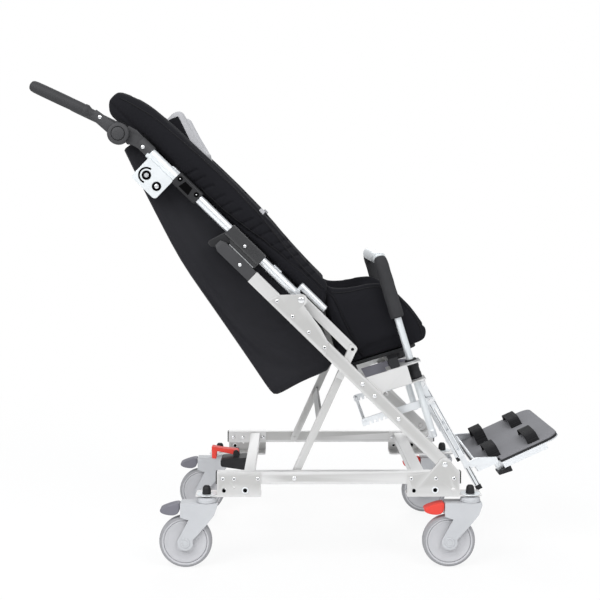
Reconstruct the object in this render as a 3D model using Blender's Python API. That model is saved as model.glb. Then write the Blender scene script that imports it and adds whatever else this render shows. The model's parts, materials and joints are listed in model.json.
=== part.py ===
"""Special needs stroller on an indoor castor base, as an assembly of named pieces.

Units are metres. +X is the way the child faces, +Y the stroller's left, +Z up, and the floor is z = 0.
Right and left pieces share one shape: SIDES gives the sign of y for each.
"""
import math

import bmesh
import bpy
from mathutils import Matrix, Vector

# Clearances
GAP = 0.0003                # between pieces that touch
RUN = 0.0005                # round a pin or a sliding bar
WELD = 0.001                # how far a welded piece goes into what carries it
SIDES = (("right", -1), ("left", 1))

# Base rails
TRACK = 0.242               # half the distance between the two rails, and between the castor stems
RAIL_WIDTH = 0.020
RAIL_HEIGHT = 0.030
RAIL_WALL = 0.002
RAIL_BOTTOM = 0.1995
RAIL_REAR = -0.199
RAIL_FRONT = 0.3715
RAIL_TOP = RAIL_BOTTOM + RAIL_HEIGHT
RAIL_INNER = TRACK - RAIL_WIDTH / 2
RAIL_OUTER = TRACK + RAIL_WIDTH / 2
RAIL_END = 0.003            # closed ends of the rails
DRAIN_RADIUS = 0.003
CROSS_HEIGHT = 0.020
CROSS_WALL = 0.002
CROSS_TOP = 0.226
REAR_CROSS_X = -0.124
REAR_CROSS_WIDTH = 0.025
FRONT_CROSS_X = 0.275
FRONT_CROSS_WIDTH = 0.030

# Castor brackets: a side plate with a floor plate turned inward
PLATE = 0.003
FLOOR_PLATE = 0.004
BRACKET_BOTTOM = 0.170
FLOOR_REACH = 0.049         # how far the floor plate goes in past the rail's outer face
REAR_BRACKET_FRONT = -0.096
FRONT_BRACKET_REAR = 0.2475
RIVET_RADIUS = 0.0042
RIVET_HEIGHT = 0.0022
RIVET_Z = 0.213
REAR_RIVETS = (-0.185, -0.159, -0.103)
FRONT_RIVETS = (0.2565, 0.315, 0.357)
REAR_HOLES = ((-0.1825, 0.1860, 0.0055), (-0.159, 0.1930, 0.0022), (-0.133, 0.1860, 0.0055))
FRONT_HOLES = ((0.263, 0.1860, 0.0040), (0.313, 0.1860, 0.0055), (0.355, 0.1870, 0.0045))
PIVOT_EYE = 0.0165          # the front plate's round top over the leg's pivot
PLATE_SHOULDER = 0.3006
PLATE_HEEL = 0.222
STEM_MARGIN = 0.026         # from the stem to the floor plate's end

# Castors
STEM_REAR = -0.224
STEM_FRONT = 0.3975
WHEEL_RADIUS = 0.0625
TYRE_DEPTH = 0.010
WHEEL_WIDTH = 0.026
WHEEL_SIDES = 24
TRAIL = 0.050
HEAD_RADIUS = 0.0235
HEAD_HEIGHT = 0.0125
FORK_TOP = BRACKET_BOTTOM - 0.0015 - HEAD_HEIGHT
FORK_HALF = 0.021
CHEEK = 0.0045
WHEEL_CLEAR = 0.004
STEM_RADIUS = 0.006
AXLE_RADIUS = 0.004
AXLE_BOSS = 0.019
CROWN_BACK = 0.0612         # from the stem back to the crown's rear face
PEDAL_ROOT = 0.0098
PEDAL_LENGTH = 0.041
PEDAL_HALF = 0.017
PEDAL_DROP = 0.011          # how far the pedal's tip lies below its pivot
NUT_RADIUS = 0.0098
NUT_HEIGHT = 0.017

# Main legs: the slope of the side frame, counted from the lower pivot up along the leg
LEG_PIVOT_X = 0.3356
LEG_PIVOT_Z = 0.246
LEG_SLOPE = math.radians(44.39)
LEG_LENGTH = 0.630
LEG_WIDTH = 0.030
LEG_WALL = 0.0022
LEG_FLOOR = 0.030           # solid foot of the leg, past its pivot
PIN_RADIUS = 0.005
PLUG_LENGTH = 0.112
PLUG_SPIGOT = 0.020
GUSSET_LOW = 0.381
GUSSET_HIGH = 0.565
GUSSET_SCREWS = (0.3957, 0.4467, 0.4994, 0.5502)
LEG_RIVETS = (0.1532, 0.2315, 0.2714)
GUSSET_FOOT = 0.018         # how much further up the gusset's upper edge starts than its lower one
GUSSET_NOSE = (0.0507, 0.0250)      # up from the gusset's lower end, and off the leg
GUSSET_EYE = 0.0140
GUSSET_SHOULDER = 0.0435    # up from the back hinge
GUSSET_EDGE = 0.002
PLUG_RIVET = 0.040          # from the leg's end up to the plug's rivet

# Link arm, strut and back tube share one plane just inside the legs
BACK_OFFSET = 0.041         # of the back tube from the leg, square to it
HINGE_REACH = 0.5116        # of the back hinge along the leg
LINK_LENGTH = 0.1689
LINK_WIDTH = 0.022
LINK_HOLE = 0.004
ARM_INSET = 0.0125          # of the plane's middle from the legs
ARM_PLANE = RAIL_INNER - ARM_INSET
ARM_DEPTH = 0.014
EAR = 0.0027
EAR_GAP = 0.001
STRUT_PIVOT_X = -0.0176
STRUT_PIVOT_Z = RAIL_BOTTOM + 0.0135
STRUT_WIDTH = 0.018
STRUT_SHORT = 0.046         # how far the strut's bar stops short of the link pivot
BRACE_REACH = 0.146         # of the brace along the strut
BRACE_WIDTH = 0.022
BRACE_DEPTH = 0.006

# Back frame
TUBE_RADIUS = 0.011
TUBE_TOP = 1.030            # along the leg's line
BACK_BARS = (0.600, 0.930)
BACK_BAR_WIDTH = 0.025
BACK_BAR_DEPTH = 0.012
STUB_RADIUS = 0.009
STUB_LOW = 0.452
STUB_HIGH = 0.618
STUB_INSET = 0.0207
STUB_PLANE = ARM_PLANE - STUB_INSET
LATCH_LOW = 0.640
LATCH_LENGTH = 0.105
LATCH_RADIUS = 0.0165
LATCH_INNER = 0.0115        # the sleeve's wall on the child's side is kept thin
LEVER_REACH = 0.058
CONNECTOR_LOW = 0.845
CONNECTOR_HIGH = 0.917
ACCESSORY_LOW = 0.9185
ACCESSORY_HIGH = 0.995
ACCESSORY_DROP = 0.027
HANDLE_HINGE_ALONG = 1.0825
HANDLE_HINGE_OFFSET = 0.0195
HANDLE_DISC = 0.0255
BUTTON_RADIUS = 0.0150
BUTTON_STAND = 0.0030       # how far the button stands out of the disc
BUTTON_RECESS = 0.0040
BUTTON_TRAVEL = 0.0020
GRIP_RADIUS = 0.0125
GRIP_LENGTH = 0.163
GRIP_RISE = math.radians(25)
GRIP_START = (-0.0540, 0.0432)   # from the handle hinge, in x and z
ROD_RADIUS = 0.007

# Seat frame: its own slope, counted from the middle of the post bush
BUSH_X = 0.267
BUSH_Z = 0.461
SEAT_TILT = math.radians(17.1)
POST_PLANE = 0.190
POST_RADIUS = 0.0085
BUSH_RADIUS = 0.016
BUSH_HALF = 0.020
BUSH_NECK = 0.0115
COLLAR = 0.004
COLLAR_RADIUS = 0.0140
FLANGE = 0.003
FLANGE_INNER = 0.172
BRACKET_HALF = 0.0222
BRACKET_PLATE = 0.004
BRACKET_FRONT = -0.014
BRACKET_REAR = -0.147
BRACKET_FOOT = ((-0.118, -0.036), (-0.097, -0.036))
BRACKET_HEEL = -0.083
SHELF_REAR = -0.062
SHELF_FRONT = 0.0205
BEAM_TOP = 0.0477
SEAT_BEAMS = ((-0.147, -0.127), (-0.052, -0.030))
PAN_DEPTH = 0.007
PAN_HALF = 0.160
POST_TOP = 0.2826           # of the grab bar's corner above the bush, along the post
POST_BOTTOM = -0.1625
BAR_BEND = 0.022
FOAM_RADIUS = 0.0165
FOAM_LOW = 0.132
FOAM_HIGH = 0.2600

# Seat cushion
SEAT_HALF = 0.170
SEAT_REAR = -0.135
SEAT_NOSE = 0.056
SEAT_WALL = 0.034
SEAT_DEPTH = 0.062
SEAT_SIDE_REAR = 0.2560
SEAT_SIDE_FRONT = 0.2360
SEAT_LEAN = 0.027           # how far the foot of the seat's rear face lies behind its top
SEAT_SIDE_BREAK = -0.040

# Back cushion
CUSHION_LOW = 0.505
CUSHION_HIGH = 1.160
CUSHION_TOE = 0.060         # how far the underside runs on below the front face at the lower end
CUSHION_CLEAR = 0.021       # from the fold latches
CUSHION_HALF = ARM_PLANE - LATCH_INNER - CUSHION_CLEAR
CUSHION_BASE = 0.0545
CUSHION_MIDDLE = 0.034      # thickness at the middle of the back
CROWN = 0.005               # how far a cushion's middle rises
BOLSTER = 0.066             # thickness at the sides
BOLSTER_WIDTH = 0.060
CHANNELS = 7
CHANNEL_DEPTH = 0.004

# Headrest
HEADREST_LOW = 0.912
HEADREST_HIGH = 1.045
HEADREST_HALF = 0.114
HEADREST_BASE = CUSHION_BASE + CUSHION_MIDDLE + CROWN + GAP
HEADREST_THICK = 0.030
HEADREST_WING = 0.062

# Storage bag behind the back
BAG_CLEAR = 0.012           # from the fold latches
BAG_HALF = ARM_PLANE - LATCH_INNER - BAG_CLEAR
BAG_CLOTH = 0.004
BAG_FRONT = CUSHION_BASE - BACK_OFFSET - BACK_BAR_DEPTH - 2 * GAP
BAG_TOP = 1.045             # along the leg's line, at the front edge of the mouth
BAG_FOOT = 0.455
BAG_REAR = ((1.055, -0.044), (0.956, -0.079), (0.782, -0.138), (0.613, -0.171), (0.500, -0.1935),
            (0.398, -0.2151))
BAG_FLOOR = ((0.3876, -0.2119), (0.367, -0.1445), (0.3323, -0.0598))
BAG_MOUTH = 0.035           # how far the cut that opens the mouth runs past it

# Leg rest
LEGREST_PIVOT = (0.0106, -0.0405)   # from the bush, in the seat frame
LEGREST_EAR = (FLANGE_INNER + GAP, FLANGE_INNER + 0.0035)
LEGREST_LEAN = math.radians(29.1)   # from straight down, towards the front
RAIL_OUT = 0.165            # middle of the leg-rest rails
LEGREST_RAIL_DEPTH = 0.009
LEGREST_RAIL_WIDTH = 0.018
LEGREST_RAIL_LENGTH = 0.205
TIE_ALONG = 0.030
SLOT_WIDTH = 0.006
SLOT_LOW = 0.070
SLOT_HIGH = 0.185
EXTENSION_DEPTH = 0.007
EXTENSION_WIDTH = 0.014
EXTENSION_LOW = 0.105
EXTENSION_HIGH = 0.298
EXTENSION_BOLTS = (0.115, 0.135)
BOLT_RADIUS = 0.0022
FOOT_HINGE_ALONG = 0.236
FOOT_HINGE_OUT = 0.0230
FOOT_PIN = 0.0035
FOOT_RISE = math.radians(25)
FOOT_START = -0.004         # along the plate from its hinge
FOOT_LENGTH = 0.212
FOOT_HALF = 0.172
FOOT_NOTCH = 0.055          # the plate is narrower this far, between its two side lugs
FOOT_DROP = 0.024           # of the plate's top below its hinge
FOOT_LUG = 0.006
FOOT_SKIRT = 0.013
FOOT_STOP = (0.042, 0.072)
FOOT_CORNER = 0.034
FOOT_PLATE = 0.003
FOOT_PAD = 0.009
STRAP_WIDTH = 0.026
STRAP_HEIGHT = 0.016
STRAP_LENGTH = 0.034
STRAP_PLACES = ((0.045, 0.114), (0.149, 0.094))
RACK_ALONG = 0.0462         # of the rack's pivot down the leg rest
RACK_LENGTH = 0.1705
RACK_RISE = math.radians(18.2)
RACK_WIDTH = 0.018
RACK_PLANE = 0.1745
RACK_PLATE = 0.004
RACK_PIN = 0.0035
RACK_TEETH = 5
TOOTH_PITCH = 0.0115
TOOTH_DEPTH = 0.007
PEG_ALONG = 0.138
PEG_RADIUS = 0.004

# Rear lock pedal
LOCK_HALF = 0.030
LOCK_REAR = -0.205
LOCK_BOTTOM = 0.180
LOCK_TOP = 0.2135
LOCK_PIVOT = (-0.166, 0.2235)
LOCK_ARM = 0.062


# Scene

def clear_scene():
    for old in list(bpy.data.objects):
        bpy.data.objects.remove(old)


def material(name, colour, roughness, metallic=0.0):
    made = bpy.data.materials.new(name)
    made.use_nodes = True
    shader = made.node_tree.nodes["Principled BSDF"]
    shader.inputs["Base Color"].default_value = (*colour, 1.0)
    shader.inputs["Roughness"].default_value = roughness
    shader.inputs["Metallic"].default_value = metallic
    return made


def make_materials():
    return {
        "satin": material("satin_aluminium", (0.62, 0.61, 0.60), 0.45, 0.6),
        "zinc": material("bright_zinc", (0.80, 0.83, 0.86), 0.25, 0.9),
        "fork": material("light_grey_plastic", (0.66, 0.67, 0.69), 0.5),
        "tyre": material("grey_tyre", (0.36, 0.36, 0.39), 0.7),
        "pedal": material("dark_grey_plastic", (0.21, 0.21, 0.24), 0.6),
        "red": material("red_plastic", (0.72, 0.10, 0.07), 0.45),
        "black": material("black_plastic", (0.025, 0.025, 0.028), 0.5),
        "foam": material("black_foam", (0.022, 0.022, 0.026), 0.85),
        "fabric": material("black_fabric", (0.020, 0.020, 0.026), 0.9),
        "grey": material("grey_fabric", (0.42, 0.42, 0.45), 0.95),
        "mat": material("grey_mat", (0.19, 0.19, 0.21), 0.85),
    }


def empty(name, place, turn=0.0, parent=None):
    """A frame that carries pieces: turn is about +Y, so a positive one dips the frame's +X."""
    made = bpy.data.objects.new(name, None)
    bpy.context.collection.objects.link(made)
    made.location = place
    made.rotation_euler = (0.0, turn, 0.0)
    made.parent = parent
    return made


def node(name, mesh, finish, parent, smooth=False):
    """Turn a bmesh into a named object in its parent's frame."""
    bmesh.ops.recalc_face_normals(mesh, faces=mesh.faces[:])
    data = bpy.data.meshes.new(name)
    mesh.to_mesh(data)
    mesh.free()
    made = bpy.data.objects.new(name, data)
    bpy.context.collection.objects.link(made)
    made.parent = parent
    data.materials.append(finish)
    if smooth:
        data.shade_smooth()
        data.set_sharp_from_angle(angle=math.radians(35))
    return made


def boolean(target, operation, mesh):
    """Cut or join a bmesh given in the target's own frame."""
    bmesh.ops.recalc_face_normals(mesh, faces=mesh.faces[:])
    data = bpy.data.meshes.new(target.name + "_tool")
    mesh.to_mesh(data)
    mesh.free()
    tool = bpy.data.objects.new(data.name, data)
    bpy.context.collection.objects.link(tool)
    tool.parent = target
    tool.hide_render = True
    tool.display_type = "WIRE"
    change = target.modifiers.new(operation.lower(), "BOOLEAN")
    change.operation = operation
    change.object = tool
    change.solver = "EXACT"


# Shapes

def arc(centre, radius, start, end, steps):
    """Points on a circle from one angle to another, in degrees."""
    points = []
    for step in range(steps + 1):
        angle = math.radians(start + (end - start) * step / steps)
        points.append((centre[0] + radius * math.cos(angle), centre[1] + radius * math.sin(angle)))
    return points


def rounded(points, radius, steps=3):
    """The same outline with every corner turned on an arc."""
    result = []
    count = len(points)
    for index in range(count):
        before = Vector(points[index - 1])
        here = Vector(points[index])
        after = Vector(points[(index + 1) % count])
        back, ahead = (before - here), (after - here)
        cut = min(radius, back.length * 0.45, ahead.length * 0.45)
        start, end = here + back.normalized() * cut, here + ahead.normalized() * cut
        for step in range(steps + 1):
            t = step / steps
            point = start * (1 - t) ** 2 + here * (2 * t * (1 - t)) + end * t ** 2
            result.append((point.x, point.y))
    return result


def capsule(first, second, radius, steps=6):
    """A bar with round ends between two points."""
    angle = math.degrees(math.atan2(second[1] - first[1], second[0] - first[0]))
    far_end = arc(second, radius, angle - 90, angle + 90, steps)
    return far_end + arc(first, radius, angle + 90, angle + 270, steps)


def hole(x, z, radius, steps=8):
    return arc((x, z), radius, 0, 360 - 360 / steps, steps - 1)


def slab(outline, low, high, holes=(), axis="y"):
    """Extrude a flat outline with holes: axis y takes (x, z) points, z takes (x, y), x takes (y, z)."""
    order = {"y": (0, 2, 1), "z": (0, 1, 2), "x": (2, 0, 1)}[axis]

    def place(a, b, c):
        point = (a, b, c)
        return tuple(point[index] for index in order)

    mesh = bmesh.new()
    edges = []
    for loop in (outline, *holes):
        ring = [mesh.verts.new(place(a, b, low)) for a, b in loop]
        for index, vert in enumerate(ring):
            edges.append(mesh.edges.new((ring[index - 1], vert)))
    flat = bmesh.ops.triangle_fill(mesh, edges=edges, use_beauty=True)
    faces = [item for item in flat["geom"] if isinstance(item, bmesh.types.BMFace)]
    grown = bmesh.ops.extrude_face_region(mesh, geom=faces)
    moved = [item for item in grown["geom"] if isinstance(item, bmesh.types.BMVert)]
    bmesh.ops.translate(mesh, verts=moved, vec=place(0, 0, high - low))
    return mesh


def box(low, high):
    mesh = bmesh.new()
    bmesh.ops.create_cube(mesh, size=1.0)
    for vert in mesh.verts:
        vert.co = [low[i] + (vert.co[i] + 0.5) * (high[i] - low[i]) for i in range(3)]
    return mesh


def rectangle(x0, x1, z0, z1):
    return [(x0, z0), (x1, z0), (x1, z1), (x0, z1)]


def turned(profile, sides, start=0.0):
    """Turn a closed (radius, height) outline about +Z; a radius of zero closes on the axis."""
    mesh = bmesh.new()
    rings = []
    for radius, height in profile:
        if radius == 0.0:
            rings.append([mesh.verts.new((0, 0, height))])
            continue
        ring = []
        for side in range(sides):
            angle = start + 2 * math.pi * side / sides
            ring.append(mesh.verts.new((radius * math.cos(angle), radius * math.sin(angle), height)))
        rings.append(ring)
    pairs = list(zip(rings, rings[1:]))
    if profile[0][0] > 0.0:
        pairs.append((rings[-1], rings[0]))
    for lower, upper in pairs:
        for side in range(sides):
            after = (side + 1) % sides
            corners = [lower[side % len(lower)], lower[after % len(lower)], upper[after % len(upper)],
                       upper[side % len(upper)]]
            mesh.faces.new(list(dict.fromkeys(corners)))
    return mesh


def moved(mesh, place=(0, 0, 0), towards=None):
    """Put a shape whose axis is +Z at a place, with that axis turned towards a direction."""
    turn = Matrix.Identity(4)
    if towards is not None:
        turn = Vector((0, 0, 1)).rotation_difference(Vector(towards)).to_matrix().to_4x4()
    mesh.transform(Matrix.Translation(place) @ turn)
    return mesh


def rod(first, second, radius, sides=12):
    first, second = Vector(first), Vector(second)
    length = (second - first).length
    profile = [(0.0, 0.0), (radius, 0.0), (radius, length), (0.0, length)]
    return moved(turned(profile, sides), first, second - first)


def sleeve(first, second, outer, inner, sides=12):
    first, second = Vector(first), Vector(second)
    length = (second - first).length
    ring = [(outer, 0.0), (outer, length), (inner, length), (inner, 0.0)]
    return moved(turned(ring, sides), first, second - first)


def loft(sections):
    """Join closed rings of points, one after another, and close both ends."""
    mesh = bmesh.new()
    rings = [[mesh.verts.new(point) for point in section] for section in sections]
    count = len(rings[0])
    for first, second in zip(rings, rings[1:]):
        for step in range(count):
            after = (step + 1) % count
            mesh.faces.new((first[step], first[after], second[after], second[step]))
    mesh.faces.new(rings[0][::-1])
    mesh.faces.new(rings[-1])
    return mesh


def joined(*meshes):
    """Several separate solids in one mesh."""
    whole = bmesh.new()
    for mesh in meshes:
        data = bpy.data.meshes.new("piece")
        bmesh.ops.recalc_face_normals(mesh, faces=mesh.faces[:])
        mesh.to_mesh(data)
        mesh.free()
        whole.from_mesh(data)
        bpy.data.meshes.remove(data)
    return whole


def dome(radius, height, sides=8):
    """A rivet head, standing on z = 0."""
    return turned([(0.0, 0.0), (radius, 0.0), (radius * 0.85, height * 0.7), (0.0, height)], sides)


def span(sign, near, far):
    """A stretch of y on one side, lowest first."""
    return tuple(sorted((sign * near, sign * far)))


def blend(low, high, value):
    """0 below low, 1 above high, smooth between."""
    t = min(1.0, max(0.0, (value - low) / (high - low)))
    return t * t * (3 - 2 * t)


# Base

def make_base(finish, root):
    make_base_frame(finish, root)
    make_brackets(finish, root)
    make_lock(finish, root)


def make_base_frame(finish, root):
    """Two closed rails and two cross members, welded into one frame, with the pivot pins of the struts."""
    rails, hollows, members, pins = [], [], [], []
    for side, sign in SIDES:
        low, high = span(sign, RAIL_INNER, RAIL_OUTER)
        rails.append(box((RAIL_REAR, low, RAIL_BOTTOM), (RAIL_FRONT, high, RAIL_TOP)))
        hollows.append(box((RAIL_REAR + RAIL_END, low + RAIL_WALL, RAIL_BOTTOM + RAIL_WALL),
                           (RAIL_FRONT - RAIL_END, high - RAIL_WALL, RAIL_TOP - RAIL_WALL)))
        pins.append(headed_pin(-sign, STRUT_PIVOT_X, STRUT_PIVOT_Z, GAP + ARM_DEPTH / 2 - ARM_PLANE,
                               -RAIL_INNER - WELD, head_in=True))
        head = dome(RIVET_RADIUS * 1.25, RIVET_HEIGHT + WELD)
        pins.append(moved(head, (STRUT_PIVOT_X, sign * (RAIL_OUTER - WELD), STRUT_PIVOT_Z), (0, sign, 0)))
    bottom = CROSS_TOP - CROSS_HEIGHT
    reach = RAIL_INNER + WELD
    room = RAIL_INNER - CROSS_WALL
    for x, width in ((REAR_CROSS_X, REAR_CROSS_WIDTH), (FRONT_CROSS_X, FRONT_CROSS_WIDTH)):
        members.append(box((x - width / 2, -reach, bottom), (x + width / 2, reach, CROSS_TOP)))
        hollows.append(box((x - width / 2 + CROSS_WALL, -room, bottom + CROSS_WALL),
                           (x + width / 2 - CROSS_WALL, room, CROSS_TOP - CROSS_WALL)))
    drains = []
    for x, y in ((0.05, -TRACK), (0.05, TRACK), (REAR_CROSS_X, 0.1), (FRONT_CROSS_X, 0.1)):
        drains.append(rod((x, y, RAIL_BOTTOM - 0.01), (x, y, bottom + 2 * CROSS_WALL), DRAIN_RADIUS, 8))
    made = node("base_frame", joined(*rails), finish["satin"], root)
    boolean(made, "UNION", joined(*members))
    boolean(made, "UNION", joined(*pins))
    boolean(made, "DIFFERENCE", joined(*hollows))
    boolean(made, "DIFFERENCE", joined(*drains))


def make_brackets(finish, root):
    pivot = (LEG_PIVOT_X, LEG_PIVOT_Z)
    rear = rectangle(RAIL_REAR, REAR_BRACKET_FRONT, BRACKET_BOTTOM, RAIL_TOP)
    rear_holes = [hole(*place) for place in REAR_HOLES]
    front = [(FRONT_BRACKET_REAR, BRACKET_BOTTOM), (RAIL_FRONT, BRACKET_BOTTOM),
             (RAIL_FRONT - PLATE, RAIL_TOP), *arc(pivot, PIVOT_EYE, 15, 165, 6), (PLATE_SHOULDER, RAIL_TOP),
             (FRONT_BRACKET_REAR, PLATE_HEEL)]
    front_holes = [hole(*place) for place in FRONT_HOLES]
    for side, sign in SIDES:
        make_bracket(f"rear_castor_bracket_{side}", finish, root, sign, rear, rear_holes, STEM_REAR,
                     (STEM_REAR - STEM_MARGIN, REAR_BRACKET_FRONT), REAR_RIVETS)
        made = make_bracket(f"front_castor_bracket_{side}", finish, root, sign, front, front_holes,
                            STEM_FRONT, (FRONT_BRACKET_REAR, STEM_FRONT + STEM_MARGIN), FRONT_RIVETS)
        boolean(made, "UNION", headed_pin(sign, *pivot, RAIL_OUTER + GAP + PLATE - WELD, RAIL_INNER))


def make_bracket(name, finish, root, sign, outline, holes, stem, floor, rivets):
    """A drilled and riveted side plate, with the floor plate that the castor's stem goes through."""
    outer = RAIL_OUTER + GAP + PLATE
    made = node(name, slab(outline, *span(sign, RAIL_OUTER + GAP, outer), holes), finish["satin"], root)
    shelf = rounded(rectangle(*floor, *span(sign, RAIL_OUTER - FLOOR_REACH, outer)), 0.006, 2)
    bore = [hole(stem, sign * TRACK, STEM_RADIUS + RUN, 12)]
    boolean(made, "UNION", slab(shelf, BRACKET_BOTTOM, BRACKET_BOTTOM + FLOOR_PLATE, bore, "z"))
    boolean(made, "UNION", rivet_row([(x, RIVET_Z) for x in rivets], sign, outer))
    return made


def rivet_row(places, sign, face):
    """Domed heads welded to a face that looks out along y."""
    heads = []
    for x, z in places:
        head = dome(RIVET_RADIUS, RIVET_HEIGHT + WELD)
        heads.append(moved(head, (x, sign * (face - WELD), z), (0, sign, 0)))
    return joined(*heads)


def headed_pin(sign, x, z, face, end, radius=PIN_RADIUS, head_in=False):
    """A pin along y from end to face, with a domed head outside face, or a flat one where head_in."""
    length = face - end
    head = radius * 1.5
    rise = EAR if head_in else RIVET_HEIGHT
    profile = [(0.0, 0.0), (radius, 0.0), (radius, length), (head, length), (head * 0.9, length + rise * 0.6),
               (0.0, length + rise)]
    return moved(turned(profile, 8), (x, sign * end, z), (0, sign, 0))


def make_lock(finish, root):
    front = REAR_CROSS_X - REAR_CROSS_WIDTH / 2 - GAP
    body = rounded([(LOCK_REAR, LOCK_BOTTOM + 0.010), (front, LOCK_BOTTOM), (front, LOCK_TOP),
                    (LOCK_REAR, LOCK_TOP - 0.004)], 0.005, 2)
    housing = node("rear_lock_housing", slab(body, -LOCK_HALF, LOCK_HALF), finish["black"], root)
    ear_in, ear_out = 0.0135, 0.0190
    ear = capsule((LOCK_PIVOT[0], LOCK_TOP - 0.004), LOCK_PIVOT, 0.0075, 4)
    for side, sign in SIDES:
        boolean(housing, "UNION", slab(ear, *span(sign, ear_in, ear_out)))
    pivot = empty("rear_lock_pivot", (LOCK_PIVOT[0], 0, LOCK_PIVOT[1]), 0.0, root)
    arm = [*arc((0, 0), 0.0072, -120, 60, 6), (-LOCK_ARM + 0.012, 0.0160), (-LOCK_ARM, 0.0190),
           (-LOCK_ARM - 0.001, 0.0120), (-LOCK_ARM + 0.012, 0.0070)]
    node("rear_lock_lever", slab(arm, -ear_in + RUN, ear_in - RUN), finish["red"], pivot)


# Castors

def make_castors(finish, root):
    for corner, x in (("rear", STEM_REAR), ("front", STEM_FRONT)):
        for side, sign in SIDES:
            stem = empty(f"castor_stem_{corner}_{side}", (x, sign * TRACK, 0), 0.0, root)
            colour = finish["red"] if corner == "front" else finish["pedal"]
            make_castor(f"{corner}_{side}", finish, colour, stem)


def make_castor(label, finish, pedal_finish, stem):
    hub = (-TRAIL, WHEEL_RADIUS)
    crown = FORK_TOP - 0.0330
    outline = [(-CROWN_BACK, FORK_TOP), (0.0255, FORK_TOP), (0.0260, FORK_TOP - 0.006),
               (0.0185, FORK_TOP - 0.028), (-0.003, FORK_TOP - 0.055),
               *reversed(arc(hub, AXLE_BOSS, -190, 20, 6)),
               (-0.0415, FORK_TOP - 0.039), (-CROWN_BACK, crown)]
    fork = node(f"castor_fork_{label}", slab(outline, -FORK_HALF, FORK_HALF), finish["fork"], stem)
    room = FORK_HALF - CHEEK
    well = WHEEL_RADIUS + WHEEL_CLEAR
    boolean(fork, "DIFFERENCE", rod((hub[0], -room, hub[1]), (hub[0], room, hub[1]), well, 16))
    nut_foot = BRACKET_BOTTOM + FLOOR_PLATE + GAP
    head_top = FORK_TOP + HEAD_HEIGHT
    profile = [(0.0, FORK_TOP - 0.004), (HEAD_RADIUS * 0.9, FORK_TOP - 0.004),
               (HEAD_RADIUS, FORK_TOP + 0.004), (HEAD_RADIUS, FORK_TOP + HEAD_HEIGHT * 0.7),
               (HEAD_RADIUS * 0.84, head_top), (STEM_RADIUS, head_top), (STEM_RADIUS, nut_foot),
               (NUT_RADIUS, nut_foot), (NUT_RADIUS * 0.95, nut_foot + NUT_HEIGHT * 0.45),
               (NUT_RADIUS * 0.6, nut_foot + NUT_HEIGHT * 0.9), (0.0, nut_foot + NUT_HEIGHT)]
    boolean(fork, "UNION", turned(profile, 12))
    end = FORK_HALF + 0.0015
    boolean(fork, "UNION", rod((hub[0], -end, hub[1]), (hub[0], end, hub[1]), AXLE_RADIUS, 10))

    axle = empty(f"castor_axle_{label}", (hub[0], 0, hub[1]), 0.0, stem)
    half = WHEEL_WIDTH / 2
    rim = WHEEL_RADIUS - TYRE_DEPTH
    bore = AXLE_RADIUS + RUN
    half_disc = [(bore, 0.002), (0.016, 0.002), (0.018, -0.003), (rim, -0.002), (WHEEL_RADIUS, -0.005)]
    ring = [(radius, -half - step) for radius, step in half_disc]
    ring += [(radius, half + step) for radius, step in reversed(half_disc)]
    wheel = moved(turned(ring, WHEEL_SIDES), (0, 0, 0), (0, 1, 0))
    node(f"castor_wheel_{label}", wheel, finish["tyre"], axle, True)

    place = (-CROWN_BACK - PEDAL_ROOT - GAP, 0, FORK_TOP - PEDAL_ROOT)
    pivot = empty(f"castor_pedal_pivot_{label}", place, 0.0, stem)
    tread = [*arc((0, 0), PEDAL_ROOT, -80, 80, 6), (-0.020, 0.0060), (-PEDAL_LENGTH, -PEDAL_DROP + 0.003),
             (-PEDAL_LENGTH - 0.001, -PEDAL_DROP - 0.002), (-0.030, -PEDAL_DROP - 0.0065),
             (-0.010, -PEDAL_DROP - 0.0065)]
    node(f"castor_pedal_{label}", slab(tread, -PEDAL_HALF, PEDAL_HALF), pedal_finish, pivot)


# Side frame

def make_front_frame(finish, frame):
    """The legs and what is riveted to them. In this frame x runs down the leg and z square to it."""
    half = LEG_WIDTH / 2
    hinge = (-HINGE_REACH, BACK_OFFSET)
    face = RAIL_OUTER + GAP
    for side, sign in SIDES:
        low, high = span(sign, RAIL_INNER, RAIL_OUTER)
        outline = [(-LEG_LENGTH, -half), *arc((0, 0), half, -90, 90, 8), (-LEG_LENGTH, half)]
        tube = slab(outline, low, high, [hole(0, 0, PIN_RADIUS + RUN)])
        leg = node(f"main_leg_{side}", tube, finish["satin"], frame)
        core = box((-LEG_LENGTH - 0.01, low + LEG_WALL, -half + LEG_WALL),
                   (-LEG_FLOOR, high - LEG_WALL, half - LEG_WALL))
        boolean(leg, "DIFFERENCE", core)
        boolean(leg, "UNION", rivet_row([(-along, 0) for along in LEG_RIVETS], sign, RAIL_OUTER))
        peg = rod((-PEG_ALONG, sign * (RAIL_INNER + WELD), 0),
                  (-PEG_ALONG, sign * (RACK_PLANE - 0.004), 0), PEG_RADIUS, 10)
        boolean(leg, "UNION", peg)

        plug = node(f"leg_top_plug_{side}", leg_plug(sign), finish["black"], frame)
        boolean(plug, "UNION", rivet_row([(-LEG_LENGTH - PLUG_RIVET, 0)], sign, RAIL_OUTER - WELD))

        gusset = [(-GUSSET_HIGH, -half + GUSSET_EDGE), (-GUSSET_LOW, -half + GUSSET_EDGE),
                  (-GUSSET_LOW - GUSSET_FOOT, half), (-GUSSET_LOW - GUSSET_NOSE[0], GUSSET_NOSE[1]),
                  *arc(hinge, GUSSET_EYE, -20, 120, 6), (-HINGE_REACH - GUSSET_SHOULDER, half)]
        sheet = slab(gusset, *span(sign, face, face + PLATE))
        plate = node(f"leg_gusset_{side}", sheet, finish["satin"], frame)
        boolean(plate, "UNION", rivet_row([(-along, 0) for along in GUSSET_SCREWS], sign, face + PLATE))
        inner = ARM_PLANE - ARM_DEPTH / 2 - EAR_GAP - EAR - GAP
        boolean(plate, "UNION", headed_pin(sign, *hinge, face + PLATE - WELD, inner))


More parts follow.
